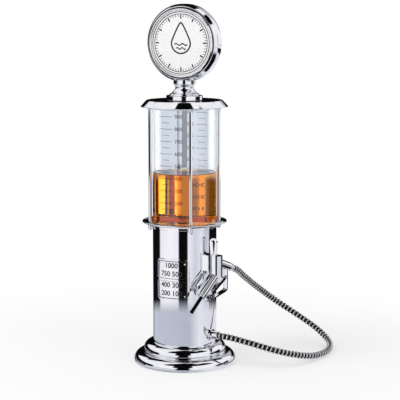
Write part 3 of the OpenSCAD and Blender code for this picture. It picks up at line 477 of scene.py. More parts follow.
# Seamless photographer's paper: plain matt white that takes a soft shadow
place = add(tree, "ShaderNodeTexCoord").outputs["Object"]
from_middle = add(tree, "ShaderNodeVectorMath", {0: place}, operation="LENGTH")
fade = add(
    tree, "ShaderNodeMapRange",
    {"Value": from_middle.outputs["Value"], "From Min": FADE_START, "From Max": FADE_END},
    interpolation_type="SMOOTHSTEP",
)
paper = add(tree, "ShaderNodeBsdfDiffuse", {"Color": hex_colour("#F4F4F5")})
clear = add(tree, "ShaderNodeBsdfTransparent")
white = add(tree, "ShaderNodeEmission", {"Color": hex_colour(WHITE), "Strength": 1.0})
rays = add(tree, "ShaderNodeLightPath").outputs
whiteness = add(tree, "ShaderNodeMath", {0: rays["Is Camera Ray"], 1: FLOOR_WHITENESS}, operation="MULTIPLY")
bright = add(tree, "ShaderNodeMixShader", {0: whiteness.outputs[0], 1: paper.outputs[0], 2: white.outputs[0]})
sweep = add(
    tree, "ShaderNodeMixShader", {0: fade.outputs["Result"], 1: bright.outputs[0], 2: clear.outputs[0]}
)
add(tree, "ShaderNodeOutputMaterial", {"Surface": sweep.outputs[0]})

bpy.ops.object.select_all(action="DESELECT")
bpy.ops.mesh.primitive_circle_add(vertices=128, radius=FLOOR_RADIUS, fill_type="NGON")
floor = bpy.context.object
floor.name = "paper_sweep"
floor.data.materials.append(floor_paint)
floor.visible_glossy = False
print("floor fades from", FADE_START, "to", FADE_END, "m")

# %% [markdown]
# Two large soft lamps give the shadow and shape the matt pieces. A sun would be harder than a studio's light.
# Mirrors and glass don't see the lamps, because their reflections come from the world.

# %% Lamps
LAMP_TARGET = Vector((0, 0, 0.22))


def soft_lamp(name, place, size, power):
    """A large square lamp that looks at the middle of the object."""
    bpy.ops.object.select_all(action="DESELECT")
    bpy.ops.object.light_add(type="AREA", location=place)
    lamp = bpy.context.object
    lamp.name = name
    lamp.data.size = size
    lamp.data.energy = power
    lamp.rotation_mode = "QUATERNION"
    lamp.rotation_quaternion = (LAMP_TARGET - Vector(place)).to_track_quat("-Z", "Y")
    lamp.visible_glossy = False
    lamp.visible_transmission = False


soft_lamp("key_softbox", place=(-1.1, -1.3, 1.9), size=1.2, power=22)
soft_lamp("fill_softbox", place=(1.8, -0.6, 1.3), size=1.4, power=8)
print("lamps placed")

# %% [markdown]
# Every finish starts from the real one: plated metal, moulded rubber, enamel, glass. A flat colour looks
# like plastic, so each gets a fine speckle that shifts its colour, its roughness and its relief a little.
# The speckle's size is given in millimetres, because Object coordinates are metres.

# %% Making a finish


def new_finish(name):
    """An empty material's node tree, and the material."""
    finish = bpy.data.materials.new(name)
    finish.use_nodes = True
    finish.node_tree.nodes.clear()
    return finish, finish.node_tree


def speckled(name, dark, light, grain, rough, relief, sockets):
    """A finish with speckled colour, uneven roughness and a faint relief; grain and relief in millimetres."""
    finish, tree = new_finish(name)
    place = add(tree, "ShaderNodeTexCoord").outputs["Object"]
    speckle = add(tree, "ShaderNodeTexNoise", {"Vector": place, "Scale": 1 / (grain * MM), "Detail": 4.0})
    colour = add(
        tree, "ShaderNodeValToRGB", {"Fac": speckle.outputs["Fac"]}, stops=[(0.35, dark), (0.65, light)]
    )
    uneven = add(
        tree, "ShaderNodeMapRange",
        {
            "Value": speckle.outputs["Fac"], "From Min": 0.3, "From Max": 0.7,
            "To Min": rough[0], "To Max": rough[1],
        },
    )
    relief = add(tree, "ShaderNodeBump", {"Height": speckle.outputs["Fac"], "Distance": relief * MM})
    shader = add(
        tree, "ShaderNodeBsdfPrincipled",
        {
            "Base Color": colour.outputs["Color"], "Roughness": uneven.outputs["Result"],
            "Normal": relief.outputs["Normal"], **sockets,
        },
    )
    add(tree, "ShaderNodeOutputMaterial", {"Surface": shader.outputs["BSDF"]})
    return finish


# %% Finishes of the pieces
METAL = {"Metallic": 1.0}
# Bright chromium over polished steel: a cool mirror with faint wiping marks
chrome = speckled("mirror_chrome_plate", "#E5E6EA", "#EBEBEF", 14, (0.015, 0.035), 0.003, METAL)
# Chromium over a zinc casting: the same mirror, a little wavy from the polishing wheel
cast_chrome = speckled("polished_chrome_casting", "#E2E3E7", "#EBEBEF", 8, (0.02, 0.045), 0.004, METAL)
# Bright rolled strip of the hose: shiny crowns with fine rolling marks
hose_strip = speckled("bright_rolled_hose_strip", "#C6C6C9", "#EDEDEE", 1.6, (0.06, 0.15), 0.01, METAL)
# The hose's gaps: painted shade, nearly black, where the strip's folded edges lie deep in the gap
gap_shade_finish = speckled(
    "painted_shade_hose_gap", "#050506", "#0D0D0E", 1.2, (0.5, 0.7), 0.02, {"Specular IOR Level": 0.25}
)
# Plain bright steel of screws and studs: greyer and duller than chrome
steel = speckled("bright_drawn_steel", "#9C9EA1", "#B9BBBE", 1.5, (0.22, 0.38), 0.01, METAL)
# Nickelled brass of the valve: a silver with some warmth left, and the lathe's fine marks
brass = speckled("nickelled_turned_brass", "#B4B0A6", "#CFCBC1", 1.2, (0.18, 0.32), 0.01, METAL)
# Moulded black rubber of pad and gaskets: matt, slightly dusty
rubber = speckled("moulded_black_rubber", "#141414", "#262626", 2.0, (0.55, 0.8), 0.05, {})
# Milky silicone of the filler plug: soft, a little light goes through
silicone = speckled(
    "milky_silicone", "#D9DAD6", "#ECEDE9", 3.0, (0.35, 0.5), 0.02, {"Transmission Weight": 0.15, "IOR": 1.41}
)
# Gloss white enamel of the sign: a hard clean skin with a faint orange peel
enamel = speckled("gloss_white_enamel", "#F0F0F2", "#FAFAFB", 2.5, (0.10, 0.2), 0.008, {"Coat Weight": 0.3})
# Painted shadow in the sign's seams: a matt black ring where the gap round the bezel lies in shade
seam_shade = speckled("painted_seam_shadow", "#050506", "#101011", 1.0, (0.6, 0.8), 0.01, {})
# Chrome of the spout with its dark reflection painted in: nearly black, bright only where the light grazes it
spout_dark_reflection = speckled("chrome_painted_dark_reflection", "#0B0B0D", "#17171A", 3.0, (0.05, 0.12), 0.004, METAL)
# Screen-printed black ink: thin and dull
ink = speckled("black_screen_ink", "#0B0B0C", "#1A1A1B", 0.8, (0.4, 0.6), 0.004, {})
# Blown clear glass: smooth, with the faintest smear on its skin
glass = speckled(
    "clear_blown_glass", "#F8FBFB", WHITE, 30, (0.0, 0.012), 0.004, {"Transmission Weight": 1.0, "IOR": 1.5}
)
hose.data.materials.append(hose_strip)
hose.data.materials.append(gap_shade_finish)
print("finishes:", [m.name for m in bpy.data.materials])

# %% [markdown]
# Foot, body, collar, lid and neck are all turned on a lathe. In Blender the lathe is Spin: one point is
# extruded along half of the outline, and the outline goes once round the upright axis. Main radii and
# heights come from the frame; an outline adds the rounded edges, because a mirror shows every edge by the
# thin line of light on it.

# %% Outlines


def arc(radius, height, bend, first, last, steps=8):
    """Points of an arc in an outline: its middle and bend in millimetres, its angles in degrees."""
    turns = [math.radians(first + (last - first) * k / steps) for k in range(steps + 1)]
    return [(radius + bend * math.cos(a), height + bend * math.sin(a)) for a in turns]


def shifted(radius, height, points):
    """Points of an outline that are given from one of its corners."""
    return [(radius + r, height + z) for r, z in points]


def turned_size(node):
    """Bottom, top and radius of a node on the upright axis, in millimetres."""
    low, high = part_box(node)
    return low.z / MM, high.z / MM, high.x / MM


# %% Lathe
LATHE_STEPS = 160
SHARP = math.radians(32)
WELD = MM / 1000


def turn(name, outline, steps=LATHE_STEPS):
    """Extrude a point along (radius, height) points in millimetres, and spin that outline."""
    bpy.ops.object.select_all(action="DESELECT")
    bpy.ops.mesh.primitive_plane_add(size=MM)
    piece = bpy.context.object
    piece.name = name
    open_mesh(piece)
    bpy.ops.mesh.merge(type="CENTER")
    path = [(r * MM, z * MM) for r, z in outline]
    bpy.ops.transform.translate(value=(path[0][0], 0, path[0][1]))
    for (r, z), (next_r, next_z) in zip(path, path[1:] + path[:1]):
        bpy.ops.mesh.extrude_region_move(TRANSFORM_OT_translate={"value": (next_r - r, 0, next_z - z)})
    bpy.ops.mesh.select_all(action="SELECT")
    bpy.ops.mesh.remove_doubles(threshold=WELD)
    bpy.ops.mesh.select_all(action="SELECT")
    bpy.ops.mesh.spin(steps=steps, angle=2 * math.pi, center=(0, 0, 0), axis=(0, 0, 1))
    bpy.ops.mesh.select_all(action="SELECT")
    bpy.ops.mesh.remove_doubles(threshold=WELD)
    bpy.ops.mesh.normals_make_consistent(inside=False)
    bpy.ops.object.mode_set(mode="OBJECT")
    bpy.ops.object.shade_smooth_by_angle(angle=SHARP)
    return piece


# %% Placing a piece


def fix_place(piece):
    """Put a piece's place, turn and scale into its mesh, so that its object sits at the origin."""
    choose(piece)
    bpy.ops.object.transform_apply(location=True, rotation=True, scale=True)


def stand(piece, origin, along):
    """Move a turned piece so that its upright axis lies along a direction."""
    along = Vector(along).normalized()
    side = UP.cross(along) if abs(along.z) < 0.9 else Vector((1, 0, 0))
    side.normalize()
    frame_axes = Matrix((side, along.cross(side), along)).transposed().to_4x4()
    piece.matrix_world = Matrix.Translation(origin) @ frame_axes
    fix_place(piece)


def settle(piece, body, finish, slot, *nodes):
    """Give a piece its finish, the body that carries it, and the nodes that it stands for."""
    if finish:
        piece.data.materials.clear()
        piece.data.materials.append(finish)
    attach(piece, body)
    if nodes:
        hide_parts(*nodes)
    print(piece.name, "rides on", body, "with", len(piece.data.polygons), "faces")


# %% [markdown]
# The foot is spun from sheet in two steps, each with a wide rounding that shows the studio as a curved band.
# A cylinder with a bevel would meet the floor too sharply. The body is a plain drawn tube that stands in it.

# %% Foot and body
FIT = 0.05
FOOT_WALL = 3.0
STEP_TOP = 15.0
STEP_REACH = 59.0
STEP_NECK = [(0.7, 0), (-0.3, 0.1), (-0.8, 0.4), (-1.0, 0.9), (-0.8, 1.5), (-0.3, 1.9), (0, 2.4), (0, 3.0)]
LOWER_BEND = 11.0
UPPER_BEND = 12.0
BODY_WALL = 1.2

foot_bottom, foot_top, foot_reach = turned_size("base")
body_bottom, body_top, body_radius = turned_size("body_tube")
_, plate_top, plate_reach = turned_size("closing_plate")
body_bore = body_radius - BODY_WALL
socket = body_radius + FIT
foot_lip = plate_reach + FIT
foot_ledge = foot_lip - FOOT_WALL
foot = turn(
    "stepped_foot",
    [(foot_lip, foot_bottom), (foot_reach - 0.4, foot_bottom), (foot_reach, foot_bottom + 0.4)]
    + arc(foot_reach - LOWER_BEND, STEP_TOP - LOWER_BEND, LOWER_BEND, 0, 88, 14)
    + shifted(STEP_REACH, STEP_TOP, STEP_NECK)
    + arc(STEP_REACH - UPPER_BEND, foot_top - UPPER_BEND, UPPER_BEND, 4, 90, 14)
    + [(socket + 0.4, foot_top), (socket, foot_top - 0.4), (socket, body_bottom), (socket - 2.0, body_bottom)]
    + [(socket - 2.0, body_bottom - FOOT_WALL), (STEP_REACH - FOOT_WALL, body_bottom - FOOT_WALL)]
    + [(STEP_REACH - FOOT_WALL, STEP_TOP - FOOT_WALL), (foot_reach - LOWER_BEND, STEP_TOP - FOOT_WALL)]
    + [(foot_ledge, plate_top + 1.5), (foot_ledge, plate_top), (foot_lip, plate_top)],
)
settle(foot, "root", chrome, "chrome", "base")

body = turn(
    "body_tube_chromed",
    [(body_bore, body_bottom + 0.1), (body_bore + 0.15, body_bottom), (body_radius - 0.15, body_bottom)]
    + [(body_radius, body_bottom + 0.2), (body_radius, (body_bottom + body_top) / 2)]
    + [(body_radius, body_top - 0.2), (body_radius - 0.15, body_top), (body_bore + 0.15, body_top)]
    + [(body_bore, body_top - 0.2)],
)
settle(body, "root", chrome, "chrome", "body_tube")

# %% [markdown]
# Collar and lid close the glass at both ends. The collar is a shallow saucer with a rolled lip, a spigot that
# goes into the body, and a groove for the glass and its gasket. The lid is a cone: its slope alone settles
# what it mirrors, so the slope is a named angle.

# %% Collar
GLASS_WALL = 2.5
COLLAR_REACH = 60.0
COLLAR_LIP = 1.2
SPIGOT_WALL = 1.7

collar_bottom, collar_top, _ = turned_size("collar")
glass_bottom, glass_top, glass_radius = turned_size("glass_cylinder")
groove_floor = turned_size("bottom_gasket")[0]
glass_bore = glass_radius - GLASS_WALL
groove = glass_radius + FIT
groove_wall = glass_bore - 1.0
well = groove_wall - 1.5
well_floor = body_top + 4.0
spigot = body_bore - FIT
flange = collar_top - 5.0
collar = turn(
    "saucer_collar",
    [(0, body_top), (spigot - SPIGOT_WALL, body_top), (spigot - SPIGOT_WALL, collar_bottom)]
    + [(spigot, collar_bottom), (spigot, body_top), (socket, body_top)]
    + shifted(socket, body_top, [(0, -1.4), (0.2, -1.7), (0.5, -1.7), (0.7, -1.4)])
    + shifted(socket, flange, [(0.7, -1.4), (0.7, -1.0), (1.1, -0.3), (1.9, 0)])
    + shifted(COLLAR_REACH, flange, [(-6.7, 0), (-4.5, 0.4), (-2.4, 1.3)])
    + arc(COLLAR_REACH - COLLAR_LIP, collar_top - 2.0, COLLAR_LIP, -75, 200, 14)
    + shifted(COLLAR_REACH, collar_top, [(-2.8, -1.7), (-4.4, -0.6), (-6.4, -0.05), (-7.4, 0)])
    + shifted(groove, collar_top, [(0.55, 0), (0, -0.4)])
    + [(groove, groove_floor), (groove_wall, groove_floor)]
    + shifted(groove_wall, collar_top, [(0, -0.3), (-0.3, 0), (-1.2, 0), (-1.5, -0.3)])
    + [(well, well_floor), (0, well_floor)],
)
settle(collar, "root", chrome, "chrome", "collar")

# %% Lid
CONE_ANGLE = 43
LID_EDGE_BEND = 0.5
LID_SHOULDER = 52.8
LID_SHOULDER_BEND = 1.5

lid_bottom, lid_top, lid_reach = turned_size("lid")
lid_ceiling = turned_size("top_gasket")[1]
lid_edge = lid_ceiling - 0.3
filler_hole = turned_size("filler_plug")[2] + 0.3
lid_spigot = glass_bore - FIT
lid = turn(
    "flared_lid",
    [(filler_hole, lid_ceiling), (lid_spigot - 2.0, lid_ceiling)]
    + shifted(lid_spigot, lid_bottom, [(-2.0, 0.3), (-1.65, 0), (-0.35, 0), (0, 0.3)])
    + [(lid_spigot, lid_ceiling), (lid_reach - 8.8, lid_ceiling)]
    + [(lid_reach - 1.2, lid_edge), (lid_reach - LID_EDGE_BEND, lid_edge)]
    + arc(lid_reach - LID_EDGE_BEND, lid_edge + LID_EDGE_BEND, LID_EDGE_BEND, -90, CONE_ANGLE, 6)
    + [(lid_reach - 0.35, lid_edge + 1.13), (LID_SHOULDER + 1.4, lid_top - 0.82)]
    + arc(LID_SHOULDER, lid_top - LID_SHOULDER_BEND, LID_SHOULDER_BEND, CONE_ANGLE, 90, 6)
    + shifted(filler_hole, lid_top, [(1.0, 0), (0.3, -0.2), (0, -0.7)]),
)
settle(lid, "root", chrome, "chrome", "lid")

# %% [markdown]
# The filler cap lifts off with the neck and the sign. It is a stepped disc with a groove for its seal. The
# neck is waisted; two quarter waves give its curve, and a boolean cuts the saddle that the drum rests in,
# because the drum's curve runs across the turning.

# %% Filler cap
CAP_STEP = 20.5
CAP_BEND = 1.2

cap_bottom, cap_top, _ = turned_size("filler_cap")
seal_groove = turned_size("filler_seal")[2] + FIT
filler_cap = turn(
    "filler_cap_turned",
    [(0, cap_bottom)]
    + shifted(seal_groove, cap_bottom, [(-2.4, 0), (-2.4, 1.4), (0, 1.4), (0, 0), (0.4, 0), (0.7, 0.3)])
    + shifted(seal_groove, cap_bottom, [(0.6, 5.4), (0.4, 6.0), (-0.2, 6.3), (-2.8, 6.5), (-3.4, 6.7)])
    + [(seal_groove - 3.8, cap_bottom + 7.2)]
    + arc(CAP_STEP - CAP_BEND, cap_top - CAP_BEND, CAP_BEND, 0, 90, 6)
    + [(0, cap_top)],
)
settle(filler_cap, "filler", chrome, "chrome", "filler_cap")

# %% Neck
NECK_STEPS = 12
NECK_WAIST = 12.8
NECK_HEAD = 15.3

neck_bottom, _, neck_reach = turned_size("neck")
bead_top = neck_bottom + 1.2
waist_height = neck_bottom + 8.4
head_height = neck_bottom + 13.4
saddle_height = neck_bottom + 18.8
neck_outline = [(0, neck_bottom)]
neck_outline += shifted(neck_reach, neck_bottom, [(-0.3, 0), (0, 0.3), (0, 0.9), (-0.3, 1.2)])
for k in range(1, NECK_STEPS):
    climb = k / NECK_STEPS
    flare = (neck_reach - 0.3 - NECK_WAIST) * (1 - math.sin(math.pi / 2 * climb))
    neck_outline.append((NECK_WAIST + flare, bead_top + (waist_height - bead_top) * climb))
for k in range(NECK_STEPS + 1):
    climb = k / NECK_STEPS
    flare = (NECK_HEAD - NECK_WAIST) * (1 - math.cos(math.pi / 2 * climb))
    neck_outline.append((NECK_WAIST + flare, waist_height + (head_height - waist_height) * climb))
neck_outline += shifted(NECK_HEAD, saddle_height, [(0, -0.3), (-0.3, 0)]) + [(0, saddle_height)]
neck = turn("waisted_neck", neck_outline)

# %% Saddle of the neck
SIGN_MIDDLE = middle("sign_rim")
sign_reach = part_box("sign_rim")[1].x / MM
sign_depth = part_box("sign_rim")[1].y / MM

bpy.ops.object.select_all(action="DESELECT")
bpy.ops.mesh.primitive_cylinder_add(
    vertices=256, radius=(sign_reach + FIT) * MM, depth=2 * (sign_depth + FIT) * MM,
    location=SIGN_MIDDLE, rotation=(math.pi / 2, 0, 0),
)
saddle_cutter = bpy.context.object
choose(neck)
bpy.ops.object.modifier_add(type="BOOLEAN")
saddle = neck.modifiers[-1]
saddle.operation = "DIFFERENCE"
saddle.solver = "EXACT"
saddle.object = saddle_cutter
bpy.ops.object.modifier_apply(modifier=saddle.name)
choose(saddle_cutter)
bpy.ops.object.delete()
choose(neck)
bpy.ops.object.shade_smooth_by_angle(angle=SHARP)
settle(neck, "filler", chrome, "chrome", "neck")

# %% [markdown]
# The sign is a round drum: a rolled rim with chamfered edges, and on each side a raised bezel that holds a
# white enamelled disc. A thin black ring of painted shadow fills the seam round the bezel and draws its
# outline, which chrome against chrome would not. All are turned like the rest and then laid on their side.

# %% Sign drum
FRONT = Vector((0, -1, 0))
SIGN_STEPS = 192
SIGN_LEDGE = 45.0
DRUM_WALL = 3.5

bezel_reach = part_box("front_bezel")[1].x / MM
face_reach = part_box("front_face")[1].x / MM
face_seat = -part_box("front_face")[1].y / MM
# Steep chamfer of the drum's edge, then a narrow flat, then the seat of disc and bezel
rim_edge = shifted(
    sign_reach, sign_depth,
    [(0, -5.45), (-0.05, -5.1), (-0.3, -4.65), (-3.12, -0.63), (-3.4, -0.3), (-3.8, -0.05), (-4.1, 0)]
    + [(-4.9, 0), (-5.2, -0.1), (-5.35, -0.35)],
)
rim_edge += [(bezel_reach + FIT, face_seat), (SIGN_LEDGE, face_seat)]
rim_edge += [(SIGN_LEDGE, face_seat - 2.0), (sign_reach - DRUM_WALL, face_seat - 2.0)]
rim = turn(
    "sign_drum",
    [(sign_reach, 0.0)] + rim_edge + [(reach, -depth) for reach, depth in reversed(rim_edge)],
    steps=SIGN_STEPS,
)
stand(rim, SIGN_MIDDLE, FRONT)
settle(rim, "filler", chrome, "chrome", "sign_rim")

# %% Bezels and discs
BEZEL_SECTION = [
    (-3.45, 0), (0, 0), (0, 1.7), (-0.2, 2.1), (-1.0, 3.95), (-1.2, 4.15), (-1.45, 4.2), (-2.3, 4.2),
    (-2.6, 4.05), (-2.9, 3.7), (-3.45, 2.1),
]
SEAM_SECTION = [(-0.2, -0.05), (1.2, -0.05), (1.25, 0.05), (1.1, 0.13), (-0.15, 0.13)]

bezel_outline = shifted(bezel_reach, -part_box("front_bezel")[1].y / MM + FIT, BEZEL_SECTION)
seam_outline = shifted(bezel_reach, sign_depth, SEAM_SECTION)
disc_outline = [(0, face_seat + FIT)]
disc_outline += shifted(face_reach, face_seat + FIT, [(-0.25, 0), (0, 0.2), (0, 1.0), (-0.25, 1.15)])
disc_outline += shifted(SIGN_LEDGE, sign_depth, [(0.2, -1.95), (0, -0.15), (-0.2, 0), (-15.0, 0)])
disc_outline += [(0, sign_depth)]
for side_name, facing in (("front", FRONT), ("back", -FRONT)):
    for name, outline, finish, slot, nodes in (
        ("_bezel_ring", bezel_outline, chrome, "chrome", [side_name + "_bezel"]),
        # The seam ring's black is painted shadow of the gap round the bezel
        ("_bezel_seam_painted_shade", seam_outline, seam_shade, None, []),
        ("_enamel_disc", disc_outline, enamel, "sign_white", [side_name + "_face"]),
    ):
        piece = turn(side_name + name, outline, steps=SIGN_STEPS)
        stand(piece, SIGN_MIDDLE, facing)
        settle(piece, "filler", finish, slot, *nodes)

# %% [markdown]
# Four chromed rods clamp the reservoir between collar and lid. A rod is turned once and copied, each copy
# with its own mesh. Acorn nuts close the threads under the collar.

# %% Reservoir
GLASS_ROUND = 0.5
GLASS_STEPS = 192

glass_middle = (glass_bottom + glass_top) / 2
reservoir = turn(
    "glass_reservoir",
    [(glass_bore, glass_bottom + GLASS_ROUND), (glass_bore + GLASS_ROUND, glass_bottom)]
    + [(glass_radius - GLASS_ROUND, glass_bottom), (glass_radius, glass_bottom + GLASS_ROUND)]
    + [(glass_radius, glass_middle), (glass_radius, glass_top - GLASS_ROUND)]
    + [(glass_radius - GLASS_ROUND, glass_top), (glass_bore + GLASS_ROUND, glass_top)]
    + [(glass_bore, glass_top - GLASS_ROUND), (glass_bore, glass_middle)],
    steps=GLASS_STEPS,
)
settle(reservoir, "root", glass, "glass", "glass_cylinder")

# %% Rods and nuts
ROD_NAMES = ["tie_rod_1", "tie_rod_2", "tie_rod_3", "tie_rod_4"]
ROD_RADIUS = 2.3
ROD_SHOULDER = 3.0
THREAD_RADIUS = 1.5
THREAD_LENGTH = 5.5
NUT_RADIUS = 3.0
ROD_STEPS = 32

nut_bottom, nut_top, _ = turned_size("rod_nuts")
thread_bottom = nut_bottom + 1.5
thread_top = lid_ceiling + THREAD_LENGTH
rod_pattern = turn(
    "rod_pattern",
    [(0, thread_bottom), (THREAD_RADIUS, thread_bottom), (THREAD_RADIUS, collar_top)]
    + shifted(ROD_SHOULDER, collar_top, [(-0.1, 0), (0, 0.3), (0, 2.2), (-0.3, 2.8), (-0.7, 3.2)])
    + [(ROD_RADIUS, (collar_top + lid_ceiling) / 2)]
    + shifted(ROD_SHOULDER, lid_ceiling, [(-0.7, -3.2), (-0.3, -2.8), (0, -2.2), (0, -0.3), (-0.1, 0)])
    + [(THREAD_RADIUS, lid_ceiling), (THREAD_RADIUS, thread_top), (0, thread_top)],
    steps=ROD_STEPS,
)
nut_pattern = turn(
    "nut_pattern",
    [(0, nut_bottom)]
    + arc(0, nut_bottom + NUT_RADIUS, NUT_RADIUS, -80, 0, 9)
    + shifted(NUT_RADIUS, nut_top, [(0, -0.8), (0.3, -0.7), (0.3, -0.1), (0.2, 0)])
    + [(0, nut_top)],
    steps=ROD_STEPS,
)
nut_copies = []
for rod_node in ROD_NAMES:
    place = middle(rod_node)
    place.z = 0
    rod = rod_pattern.copy()
    rod.data = rod_pattern.data.copy()
    rod.name = "chromed_" + rod_node
    nut = nut_pattern.copy()
    nut.data = nut_pattern.data.copy()
    nut_copies.append(nut)
    for copy in (rod, nut):
        bpy.context.scene.collection.objects.link(copy)
        copy.location = place
        fix_place(copy)
    settle(rod, "root", chrome, "chrome", rod_node)
choose(*nut_copies)
bpy.ops.object.join()
acorn_nuts = nut_copies[0]
acorn_nuts.name = "acorn_nuts"
settle(acorn_nuts, "root", chrome, "chrome", "rod_nuts")
choose(rod_pattern, nut_pattern)
bpy.ops.object.delete()

# %% [markdown]
# The drink stands in the reservoir a little above its 400 mark, and climbs the wall by a millimetre. It laps
# into the glass by a hair: with a gap there, light would meet a film of air and turn back. Its colour comes
# from depth, so it sits in the volume, and the middle, where the light's way is longest, comes out darkest.

# %% Drink
DRINK_LEVEL = 272.5
DRINK_LAP = 0.05
MENISCUS = [(0, 1.3), (-0.25, 0.9), (-0.65, 0.45), (-1.45, 0.12), (-2.85, 0)]
SURFACE_RING = 20.0

drink_reach = glass_bore + DRINK_LAP
drink = turn(
    "amber_drink",
    [(0, well_floor + 0.2), (well - 0.2, well_floor + 0.2), (well - 0.1, well_floor + 0.3)]
    + [(well - 0.1, collar_top + 0.1), (drink_reach, collar_top + 0.2)]
    + shifted(drink_reach, DRINK_LEVEL, MENISCUS)
    + [(SURFACE_RING, DRINK_LEVEL), (0, DRINK_LEVEL)],
    steps=GLASS_STEPS,
)

# %% Finish of the drink
# Linear, because a step of a hex value would show once the depth has multiplied it
DRINK_TINT = (0.985, 0.787, 0.04, 1.0)
DRINK_DENSITY = 75.0
SWIRL_SIZE = 25 * MM

# Aged amber spirit: clear, a little oily, yellow where thin and orange-brown where deep
spirit, tree = new_finish("amber_spirit")
place = add(tree, "ShaderNodeTexCoord").outputs["Object"]
swirl = add(tree, "ShaderNodeTexNoise", {"Vector": place, "Scale": 1 / SWIRL_SIZE, "Detail": 2.0})
oily = add(tree, "ShaderNodeMapRange", {"Value": swirl.outputs["Fac"], "To Min": 0.0, "To Max": 0.01})
shader = add(
    tree, "ShaderNodeBsdfPrincipled",
    {
        "Base Color": hex_colour(WHITE), "Roughness": oily.outputs["Result"],
        "Transmission Weight": 1.0, "IOR": 1.36,
    },
)
depth = add(tree, "ShaderNodeVolumeAbsorption", {"Color": DRINK_TINT, "Density": DRINK_DENSITY})
add(tree, "ShaderNodeOutputMaterial", {"Surface": shader.outputs["BSDF"], "Volume": depth.outputs["Volume"]})
settle(drink, "root", spirit, None)

# %% [markdown]
# Fittings, nozzle and holder are castings and machined pieces with small bores. Their solids already have
# the right form, so a copy of each is merged to clean faces and its edges are rounded by a bevel, which
# catches the light as a real machined edge does.

# %% Rounded copies
SOLID_WELD = MM / 200
FLAT_WITHIN = math.radians(0.5)
ROUNDED_FROM = math.radians(35)


def solid_copy(node, name):
    """A copy of a node's solid, its loose triangles merged, left open in edit mode."""
    piece = bpy.data.objects.new(name, frame["nodes"][node].data.copy())
    bpy.context.scene.collection.objects.link(piece)
    open_mesh(piece)
    bpy.ops.mesh.remove_doubles(threshold=SOLID_WELD)
    return piece


def dress(node, name, width):
    """A copy of a node's solid with clean faces, its edges rounded by a width in millimetres."""
    piece = solid_copy(node, name)
    bpy.ops.mesh.dissolve_limited(angle_limit=FLAT_WITHIN)
    bpy.ops.object.mode_set(mode="OBJECT")
    bpy.ops.object.modifier_add(type="BEVEL")
    rounding = piece.modifiers[-1]
    rounding.width = width * MM
    rounding.segments = 3
    rounding.limit_method = "ANGLE"
    rounding.angle_limit = ROUNDED_FROM
    rounding.use_clamp_overlap = True
    bpy.ops.object.modifier_apply(modifier=rounding.name)
    bpy.ops.object.shade_smooth_by_angle(angle=SHARP)
    bpy.ops.object.modifier_add(type="WEIGHTED_NORMAL")
    flat_faces = piece.modifiers[-1]
    flat_faces.keep_sharp = True
    bpy.ops.object.modifier_apply(modifier=flat_faces.name)
    return piece


# %% Fittings and castings
for node, name, width, body_name, finish, slot in (
    ("outlet_fitting", "outlet_flange", 0.5, "root", chrome, "chrome"),
    ("holder", "nozzle_holder", 0.9, "root", chrome, "chrome"),
    ("hang_stud", "hanging_stud", 0.3, "nozzle", chrome, "chrome"),
    ("valve_cap", "valve_cap_with_eye", 0.6, "nozzle", chrome, "chrome"),
    ("trigger_guard", "trigger_guard_strip", 0.6, "nozzle", cast_chrome, "chrome"),
    ("trigger", "trigger_lever", 0.8, "trigger", cast_chrome, "chrome"),
):
    settle(dress(node, name, width), body_name, finish, slot, node)

# %% [markdown]
# The nozzle's body is one casting: an upright valve housing with a barrel in front and a handle behind. It
# is rounded as the other castings are, a little more.

# %% Nozzle casting
settle(dress("nozzle_body", "nozzle_casting", 1.0), "nozzle", cast_chrome, "chrome", "nozzle_body")

# %% [markdown]
# The hose ends in two ferrules that are crimped on in rings, and a ringed nut holds the spout. Each is turned
# upright and then laid along its own pipe, which is easier than turning it in place.

# %% Ferrules
PIPE_STEPS = 48
FERRULE_LENGTH = 8.0
FERRULE = [
    (3.9, 0.0), (4.9, 0.0), (5.3, 0.3), (5.5, 0.8), (5.5, 1.6), (5.1, 2.0), (5.1, 2.6), (5.5, 3.0),
    (5.5, 4.0), (5.1, 4.4), (5.1, 5.0), (5.5, 5.4), (5.5, 7.0), (5.3, 7.6), (4.9, FERRULE_LENGTH),
    (4.6, FERRULE_LENGTH), (4.6, 6.0), (3.9, 6.0),
]
# The outlet's ferrule starts inside the fitting, so it is longer there and has no rounded start
OUTLET_FERRULE = [(3.9, -2.0), (5.5, -2.0), (5.5, 0.0)] + FERRULE[3:]

outlet_ferrule = turn("outlet_ferrule_crimped", OUTLET_FERRULE, steps=PIPE_STEPS)
stand(outlet_ferrule, hose_start - OUT * FERRULE_LENGTH * MM, OUT)
settle(outlet_ferrule, "root", chrome, "chrome", "outlet_ferrule")

nozzle_ferrule = turn("nozzle_ferrule_crimped", FERRULE, steps=PIPE_STEPS)
stand(nozzle_ferrule, hose_end - REARWARD * FERRULE_LENGTH * MM, REARWARD)
settle(nozzle_ferrule, "nozzle", chrome, "chrome", "nozzle_ferrule")

# %% Spout and its nut
BARREL_SLOPE = math.radians(35)
BARREL_HEIGHT = 134 * MM
BARREL_LENGTH = 42 * MM
FORWARD = math.cos(BARREL_SLOPE) * AHEAD - math.sin(BARREL_SLOPE) * UP
NUT_OUTLINE = [
    (2.55, 0.0), (4.7, 0.0), (5.0, 0.3), (5.0, 1.5), (4.5, 1.9), (4.5, 2.3), (5.0, 2.7), (5.0, 4.4),
    (4.4, 5.0), (2.55, 5.0),
]
# A thin pipe with a rolled bead at its mouth
SPOUT_OUTLINE = [
    (1.8, -8.0), (2.5, -8.0), (2.5, 30.7), (2.75, 31.0), (2.85, 31.6), (2.75, 32.4), (2.45, 32.9),
    (2.1, 33.0), (1.8, 32.6),
]
for name, outline, finish, slot, node in (
    ("spout_nut_ringed", NUT_OUTLINE, chrome, "chrome", "spout_nut"),
    # The spout's near-black colour is its painted dark reflection
    ("spout_pipe", SPOUT_OUTLINE, spout_dark_reflection, None, "spout_tube"),
):
    piece = turn(name, outline, steps=PIPE_STEPS)
    stand(piece, VALVE + UP * BARREL_HEIGHT + FORWARD * BARREL_LENGTH, FORWARD)
    settle(piece, "nozzle", finish, slot, node)
